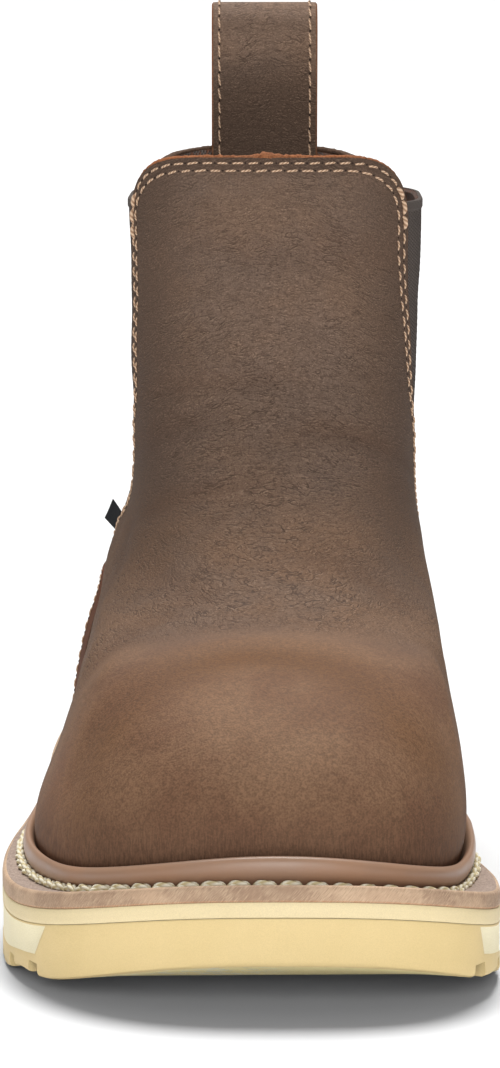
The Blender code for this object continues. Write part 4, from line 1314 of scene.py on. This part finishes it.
def makeLoop():
    half = loop["wide"] / 2
    edge = np.array([0, 0.15, 0.3, loop["rawStrip"]])
    flat = half - loop["flatIn"]
    middle = np.linspace(-flat, flat, loop["flatColumns"])
    across = np.concatenate([-half + edge, middle, (half - edge)[::-1]])
    bevel = np.clip(np.minimum(across + half, half - across) / loop["bevel"], 0, 1)
    lift = loop["thick"] / 2 * np.sqrt(np.clip(1 - (1 - bevel) ** 2, 0.15, 1))
    outer, inner = loopSkin(lift, across), loopSkin(-lift, across)
    rows, columns = outer.shape[:2]
    piece = slabPiece("pullLoopStrap", outer, inner, [leather, rawEdge], 1, 0, None, 60)
    strip = np.tile((np.arange(columns - 1) < 3) | (np.arange(columns - 1) > columns - 5), rows - 1)
    index = np.ones(len(piece.data.polygons), np.int32)
    index[: 2 * len(strip)] = np.concatenate([strip, strip])
    piece.data.polygons.foreach_set("material_index", index)
    faceOut(piece)
    z = pointsOf(piece)[:, 2]
    marks = {  # painted shade below, painted highlight over the fold where it turns up to the light
        "wear": np.full(len(z), loop["wear"]), "rust": np.full(len(z), loop["rust"]),
        "edge": 0.95 - 0.95 * ramp(z, *loop["darkZ"]), "paintedLight": 0.27 * ramp(z, *loop["glowZ"]) - 0.04,
        "pale": 0.5 * ramp(z, *loop["paleZ"]),
    }
    for name, values in marks.items():
        markPoints(piece, name, values)
    seatPiece(piece, "leather", "pull_loop")
    for side in (-1, 1):
        across = np.array([side * (half - loop["rowIn"]) + d for d in (-0.5, 0, 0.5)])
        for face in (1, -1):
            skinLine = loopSkin(np.full(3, face * (loop["thick"] / 2 + 0.02)), across)
            ways = unit(np.cross(np.gradient(skinLine[:, 1], axis=0), skinLine[:, 2] - skinLine[:, 0]))
            sewRow(skinLine[:, 1], ways * -face, False, loop["pitch"], 0.95, 0.01, -7, 0.3)


makeLoop()

sewn = (("sewingThread", threadParts, tabThread), ("needleHoles", holeParts, needleHole))
for sewnName, sewnParts, sewnMaterial in sewn:
    sewnPoints, sewnFaces, sewnUv = joinParts(sewnParts)
    seatPiece(meshPiece(sewnName, sewnPoints, sewnFaces, [sewnMaterial], None, sewnUv), "leather")


# Side tab: a folded ribbon end at the foot of the lateral gore, plain

ribbon = {
    "wide": 5, "out": 2.7, "back": 3.0, "up": 3.3, "thick": 1.2, "sunk": 0.3, "y": 44, "z": 82.7,
    "rows": 12, "columns": 15,
}


def makeRibbon():
    share = np.linspace(0, 1, ribbon["rows"])[:, None]
    t = np.linspace(-0.5, 0.5, ribbon["columns"])[None, :]
    z = ribbon["z"] + t * ribbon["wide"]
    root = np.array([hitSide("L", ribbon["y"], height)[0][0] for height in z[0]])
    x = root + ribbon["sunk"] - share * (ribbon["out"] + ribbon["sunk"] - t)
    half = ribbon["thick"] / 2 * np.sqrt(np.maximum(1 - np.maximum(share * 1.25 - 0.25, 0) ** 2, 0.05))
    bend = ribbon["back"] * share + 0.3 * np.sin(math.pi * share)
    level = z + share * ribbon["up"]
    outer, inner = (
        np.stack(np.broadcast_arrays(x, ribbon["y"] + way * half + bend, level), axis=-1) for way in (-1, 1)
    )
    uv = np.stack(np.broadcast_arrays(share, t), axis=-1)
    piece = slabPiece("sideTabRibbon", outer, inner, [blackRibbon], 0, 0, uv, 60)
    faceOut(piece)
    seatPiece(piece, "black_ribbon", "side_tab")


makeRibbon()


# Welt: trimmed flange, storm bead and thick lockstitch

welt = {
    "thick": 3.9, "gap": 0.1, "toeWide": 4.6, "sideWide": 2.6, "toeY": -108, "toeRun": 28,
    "beadHigh": 6.0, "toeCrown": 2.0, "toeDip": 0.8, "footLevel": 0.5, "crownLevel": 0.9, "bevel": 0.9,
    "crownX": (6, 26), "crownY": (-100, -25), "footRoom": 1.0, "look": 1.2, "side": 240,
    "edgeRow": 4, "flangeRows": (8, 11), "footRow": 12,  # rings of the welt, counted from its inner edge
    "pitch": 5.6, "stitch": 5.9, "strand": 0.72, "rise": 1.1, "plies": 3, "sides": 7, "rings": 13,
    "worn": 0.55, "wornX": (4, 22), "wornY": (-95, -25), "slant": 6, "sway": 8,
}


def beadWide(y):  # the bead is widest round the toe
    toe = ramp(y, welt["toeY"], -welt["toeRun"])
    return welt["sideWide"] + (welt["toeWide"] - welt["sideWide"]) * toe


def beadFoot(shares, room):  # line outside the bead that still leaves room to the trimmed edge
    middle = formRings([welt["footLevel"]], shares)[0]
    edge = soleRings(np.linspace(0, 1, 500))
    normals = ringNormals(middle)
    apart = edge[None] - middle[:, None, :2]
    ahead = (apart * normals[:, None]).sum(axis=2)
    beside = np.abs(apart[:, :, 0] * normals[:, None, 1] - apart[:, :, 1] * normals[:, None, 0])
    reach = np.where((beside < welt["look"]) & (ahead > 0), ahead, 99).min(axis=1)
    out = beadWide(middle[:, 1]) + welt["gap"] + welt["footRoom"]
    return movedOut(middle, np.minimum(out, reach - room))


def soleRings(shares):
    return planRings(soleEdge, shares)[0]


def weltRows(shares):
    edge = soleRings(shares)
    levels = (0, welt["footLevel"], welt["crownLevel"])
    base, middle, crown = (formRings([level], shares)[0] for level in levels)
    ringOf = []  # plan ring, height over the seat, material slot of the strip above it

    def strip(plan, height, slot):
        low = seat(plan[:, 1])
        ringOf.append((np.column_stack([plan[:, :2], low + height]), slot))

    def fromBead(out, rise, slot):
        ring = middle + (crown - middle) * rise
        toe = ramp(ring[:, 1], *welt["crownY"])
        crownX, crownRun = welt["crownX"]
        arched = welt["toeCrown"] * np.exp(-(((ring[:, 0] - crownX) / crownRun) ** 2)) - welt["toeDip"]
        height = welt["thick"] + rise * (welt["beadHigh"] + toe * arched)
        strip(movedOut(ring, out * (beadWide(ring[:, 1]) + 0.2) + welt["gap"]), height, slot)

    strip(movedOut(base, welt["gap"]), 0, 0)
    for inset, height in ((0.5, 0), (0.12, 0.12), (0, 0.5), (0, 1.4), (0, 2.4), (0.1, 3.2), (0.35, 3.65)):
        strip(movedOut(edge, -inset), height, 1)
    rim = movedOut(edge, -welt["bevel"])
    strip(rim, welt["thick"], 0)
    foot = beadFoot(shares, 0.95)
    for share in (0.35, 0.7, 1.0):
        strip(rim * (1 - share) + foot[:, :2] * share, welt["thick"] - 0.25 * share, 0)
    for turn in np.radians(np.linspace(-48, 150, 13)):
        fromBead(0.5 + 0.5 * math.cos(turn), 0.5 + 0.5 * math.sin(turn), 0)
    return ringOf


def makeWelt():
    shares = np.linspace(0, 1, welt["side"] + 1)
    rings = weltRows(shares)
    grid = np.array([np.roll(ring, -welt["side"], axis=0) for ring, _ in rings])
    rows, columns = grid.shape[:2]
    edge = grid[welt["edgeRow"]]
    run = arcLength(np.concatenate([edge, edge[:1]]))
    heights = grid[:, :, 2] - seat(grid[:, :, 1])
    u = np.tile(run / 100, (rows + 1, 1))
    v = np.concatenate([heights, heights[:, :1]], axis=1)
    v = np.concatenate([v, v[:1]]) / 100
    faces = gridFaces(rows + 1, columns, closed=True) % (rows * columns)
    slots = np.repeat([slot for _, slot in rings], columns)
    points, materials = grid.reshape(-1, 3), [beadLeather, weltEdge]
    piece = meshPiece("stormWelt", points, faces, materials, slots, cornerUv(u, v), 55)
    row = np.repeat(np.arange(rows), columns)
    first, last = welt["flangeRows"]
    markPoints(piece, "foot", np.exp(-((row - welt["footRow"]) / 1.6) ** 2))  # painted shade in the groove at the bead's foot
    markPoints(piece, "flange", (row >= first) & (row <= last))
    seatPiece(piece, "welt_leather", "welt")


def weltStitchShape():  # three plies that swell and twist between two holes
    u = np.linspace(-1, 1, welt["rings"])
    swell = np.clip(1 - np.abs(u) ** 3.0, 0.02, 1) ** 0.6
    thick = welt["strand"] * (0.35 + 0.65 * swell)
    parts = []
    for turn in fullTurn(welt["plies"]):
        phase = turn + 1.5 * u
        side = 0.55 * swell * np.cos(phase)
        rise = welt["rise"] * swell * 0.75 + 0.45 * swell * np.sin(phase) - 0.5 * (1 - swell)
        parts.append(tubePart(u, welt["stitch"], side, rise, thick, 0.8, 0.8, welt["sides"]))
    return joinParts(parts)


def makeWeltStitches():
    line = beadFoot(np.linspace(0, 1, 300), 0.9)
    line[:, 2] = seat(line[:, 1]) + welt["thick"] - 0.1
    up = np.tile([0.0, 0.0, 1.0], (len(line), 1))
    spots, along, across, ups = evenLoop(line, up, welt["pitch"])
    sunk = welt["worn"] * ramp(spots[:, 0], *welt["wornX"]) * ramp(spots[:, 1], *welt["wornY"])
    spots = spots - ups * sunk[:, None]  # worn down on the medial toe
    stitch = weltStitchShape()
    points, faces, uv = placeMany(stitch, spots, along, across, ups, welt["slant"], welt["sway"])
    piece = meshPiece("weltStitching", points, faces, [weltThread], None, uv, 80)
    seatPiece(piece, "welt_leather")


makeWelt()
makeWeltStitches()


# Midsole and outsole

midsole = {"side": 220, "round": 0.18, "gap": 0.06}
outsole = {
    "edge": 1.0, "lugBand": 5.3, "inset": 0.15, "lip": 0.25, "hollow": 0.9, "tread": 12, "step": 2.2,
    "panelM": -136.7, "panelL": -129.6, "panelSeam": 0.25, "slantM": 2.0, "slantL": 5.0, "slantRun": 14,
    "hollowY": (-88, -22), "evened": 30, "panelRows": (6, 7),
    "lift": 2.4, "liftM": -123, "liftL": -116, "liftRun": 9.5, "notchLift": 0.8,
    "pitch": 15, "notchWide": 5, "notchHigh": 3.2, "notchDeep": 13, "notchOut": -5,
    "firstM": -136.5, "firstL": -124.4, "lastY": 136,
}


def capStrips(start, half, upward):  # strips across a ring, from one side to the other
    count = 2 * half
    last = start + count
    faces = [[start, start + 1, last - 1]]
    faces += [[start + i, start + i + 1, last - i - 1, last - i] for i in range(1, half - 1)]
    faces += [[start + half - 1, start + half, start + half + 1]]
    return faces if upward else [face[::-1] for face in faces]


def ringBody(name, rings, materials, slots=None, sharp=40):  # closed body of rings, capped below and above
    grid = np.array(rings)
    rows, columns = grid.shape[:2]
    faces = gridFaces(rows, columns, closed=True).tolist()
    faces += capStrips(0, columns // 2, False) + capStrips((rows - 1) * columns, columns // 2, True)
    return meshPiece(name, grid.reshape(-1, 3), faces, materials, slots, None, sharp)


def makeMidsole():
    plan = soleRings(np.linspace(0, 1, midsole["side"] + 1))
    low, high = outsoleTop(plan[:, 1]) + midsole["gap"], seat(plan[:, 1]) - midsole["gap"]
    soft = midsole["round"]
    profile = (
        (soft, low), (0.05, low + soft), (0, low + 1), (0, high - 1), (0.05, high - soft), (soft, high),
    )
    rings = [np.column_stack([movedOut(plan, -inset), z]) for inset, z in profile]
    seatPiece(ringBody("midsoleBand", rings, [midsoleRubber]), "midsole_rubber", "midsole")


def sideShares(side):  # even columns, with two close ones at the front edge of the side panel
    steps = np.linspace(0, 3, 3000)
    line = sideCurve(soleEdge, side, steps)[0]
    run = arcLength(line)
    panelAt = np.interp(outsole["panel" + side], line[:, 1], run)
    count = int(run[-1] / outsole["step"])
    at = np.linspace(0, run[-1], count)
    nearest = int(np.argmin(np.abs(at - panelAt)))
    at[nearest], at[nearest + 1] = panelAt - outsole["panelSeam"], panelAt + outsole["panelSeam"]
    return line, run, at, panelAt


def lugLift(x, y):  # the first lugs beside the toe bumper stand higher than its foot
    middle = np.where(x < 0, outsole["liftL"], outsole["liftM"])
    return outsole["lift"] * np.exp(-((y - middle) / outsole["liftRun"]) ** 2)


def outsoleRing(sides, inset, height, slide, lifted):  # columns are slid back near the panel's edge
    ends = []
    for side in "ML":
        line, run, at, panelAt = sides[side]
        slant = outsole["slant" + side] * np.exp(-((at - panelAt) / outsole["slantRun"]) ** 2)
        ends.append(columnsAt(at + slide * slant, run, line))
    plan = movedOut(np.concatenate([ends[0], ends[1][-2:0:-1]]), -inset)
    x, y = plan.T
    return np.column_stack([plan, height(y) + lifted * lugLift(x, y)])


def makeOutsole():
    sides = {side: sideShares(side) for side in "ML"}
    count = min(len(sides[side][2]) for side in "ML")
    for side in "ML":
        line, run, at, panelAt = sides[side]
        if len(at) > count:
            first = count - outsole["evened"]  # the longer side spreads its last columns wider
            at = np.concatenate([at[:first], np.linspace(at[first], at[-1], outsole["evened"])])
        sides[side] = (line, run, at, panelAt)
    inPanel = np.concatenate([sides["M"][2] > sides["M"][3], (sides["L"][2] > sides["L"][3])[-2:0:-1]])
    edge, band, lip, hollow = (outsole[k] for k in ("edge", "lugBand", "lip", "hollow"))
    under, top = outsoleUnder, outsoleTop
    none = 0 * inPanel
    deep = outsole["inset"] * inPanel
    profile = (  # inset, height, slide of the panel's edge, share of the lugs' lift
        (none + edge + outsole["tread"], lambda y: under(y) + hollow * ramp(y, *outsole["hollowY"]), 1, 0.6),
        (none + edge, under, 1, 1),
        (none + edge * 0.3, lambda y: under(y) + edge * 0.3, 1, 1),
        (none, lambda y: under(y) + edge, 1, 1),
        (none, lambda y: under(y) + band * 0.6, 1, 0.7),
        (none, lambda y: under(y) + band, 1, 0.3),
        (deep, lambda y: under(y) + band + 0.3, 1, 0.3),
        (deep, lambda y: (under(y) + band + top(y)) / 2, 0.5, 0.1),
        (deep, lambda y: top(y) - lip - 0.25, 0, 0),
        (none + 0.05, lambda y: top(y) - lip, 0, 0),
        (none + 0.18, top, 0, 0),
    )
    rings = [outsoleRing(sides, *row) for row in profile]
    inside = inPanel & np.roll(inPanel, -1)
    slots = [np.where(inside & (r in outsole["panelRows"]), 1, 0) for r in range(len(profile) - 1)]
    slots[0] += 2  # the strip round the tread
    slots = np.concatenate(slots + [np.full(count - 1, 2), np.zeros(count - 1)])
    piece = ringBody("wedgeOutsole", rings, [bumperRubber, panelRubber, treadRubber], slots, 28)
    cutter = lugCutter()
    cutWith(piece, cutter)
    before = len(piece.data.polygons)
    applyModifiers(piece, 28)
    bpy.data.objects.remove(cutter)
    print("outsole notched:", before, "to", len(piece.data.polygons), "faces")
    seatPiece(piece, "cream_rubber", "outsole")


def lugCutter():
    points, faces = [], []
    for side in "ML":
        line, run, _, _ = sideShares(side)
        inside = (line[:, 1] > outsole["first" + side]) & (line[:, 1] < outsole["lastY"])
        spans = run[inside]
        for at in np.arange(spans[0], spans[-1], outsole["pitch"]):
            k = int(np.clip(np.searchsorted(run, at), 1, len(run) - 2))
            along = unit(line[k + 1] - line[k - 1])
            inward = np.array([-along[1], along[0]]) * wayOf[side]
            floor = float(outsoleUnder(line[k, 1]) + outsole["notchLift"] * lugLift(*line[k]))
            start = len(points)
            near, far = outsole["notchOut"], outsole["notchDeep"]
            for z, spread in ((floor - outsole["notchHigh"], 1.12), (floor + outsole["notchHigh"], 0.88)):
                for a, depth in ((-1, near), (1, near), (1, far), (-1, far)):
                    spot = line[k] + along * a * spread * outsole["notchWide"] / 2 + inward * depth
                    points.append((spot[0], spot[1], z))
            quads = [(0, 1, 2, 3), (4, 5, 6, 7)]
            quads += [(i, (i + 1) % 4, (i + 1) % 4 + 4, i + 4) for i in range(4)]
            faces += [[start + i for i in quad] for quad in quads]
    cutter = meshPiece("lugCutter", points, faces, [bumperRubber])
    faceOut(cutter)
    return cutter


makeMidsole()
makeOutsole()


# Footbed inside the boot

footbed = {"thick": 4.0, "side": 120, "clear": 3.3, "dish": 1.6, "gap": 0.2}


def makeFootbed():
    plan = formRings([0], np.linspace(0, 1, footbed["side"] + 1))[0]
    plan = movedOut(plan, -footbed["clear"])[:, :2]
    low = seat(plan[:, 1]) + footbed["gap"]
    rings = [np.column_stack([plan, low]), np.column_stack([plan, low + footbed["thick"] - 0.8])]
    middle = np.column_stack([np.full(len(plan), plan[:, 0].mean()), plan[:, 1]])
    for share in (0.02, 0.06, 0.2, 0.45, 0.7):
        inner = plan * (1 - share) + middle * share
        inner[:, 1] = inner[:, 1] * (1 - 0.25 * share)
        dip = footbed["dish"] * ease(share / 0.5) + (0.3 if share < 0.05 else 0)  # rounded rim, dished middle
        high = seat(inner[:, 1]) + footbed["gap"] + footbed["thick"] - dip
        rings.append(np.column_stack([inner, high]))
    seatPiece(ringBody("footbedInsole", rings, [footbedCloth]), "footbed", "insole")


makeFootbed()


# Floor, light and camera

studio = {
    "floor": 60.0, "floorTones": (0.85, 0.87), "farClip": 200, "world": 0.16,
    "overhead": 3.95, "overheadTilt": (-26, 1), "overheadSpread": 30,
    "front": 1.62, "frontTilt": (74, 0), "frontSpread": 36,
    "camera": (0.0, -1.0525, 0.224), "pitch": 7.5, "focalPixels": 4285, "framePixels": 1068, "sensor": 36,
}


def makeFloor():
    material, tree, shader, place = newMaterial("whiteFloor")
    cloud = noise(tree, place["Object"], 1.5, 2.0)
    colour = blend(tree, cloud, *[(grey, grey, grey, 1) for grey in studio["floorTones"]])
    finishShader(tree, shader, colour, 0.9, cloud, 0.02, 0.1, 0.0)
    half = studio["floor"] / 2 / mm
    corners = [(-half, -half, 0), (half, -half, 0), (half, half, 0), (-half, half, 0)]
    meshPiece("floor", corners, [[0, 1, 2, 3]], [material])


def makeSun(name, strength, tilt, spread):
    light = bpy.data.lights.new(name, "SUN")
    light.energy = strength
    light.angle = math.radians(spread)
    lamp = bpy.data.objects.new(name, light)
    lamp.rotation_euler = (math.radians(tilt[0]), math.radians(tilt[1]), 0)
    bpy.context.scene.collection.objects.link(lamp)


def makeWorld():
    world = bpy.data.worlds.new("studio")
    bpy.context.scene.world = world
    world.use_nodes = True
    tree = world.node_tree
    sky = tree.nodes["Background"]
    seen = put(tree, "ShaderNodeLightPath").outputs["Is Camera Ray"]
    strength = soften(tree, seen, 0.0, 1.0, studio["world"], 1.0)
    feed(tree, sky, {"Color": (1, 1, 1, 1), "Strength": strength})


def makeCamera():
    lens = bpy.data.cameras.new("photoCamera")
    lens.sensor_width = studio["sensor"]
    lens.lens = studio["focalPixels"] / studio["framePixels"] * studio["sensor"]
    lens.clip_end = studio["farClip"]
    camera = bpy.data.objects.new("photoCamera", lens)
    camera.location = studio["camera"]
    camera.rotation_euler = (math.radians(90 - studio["pitch"]), 0, 0)
    bpy.context.scene.collection.objects.link(camera)
    bpy.context.scene.camera = camera


makeFloor()
for sun in ("overhead", "front"):
    makeSun(sun + "Softbox", studio[sun], studio[sun + "Tilt"], studio[sun + "Spread"])
makeWorld()
makeCamera()
print("studio ready")
bpy.context.scene.view_settings.view_transform = "Standard"
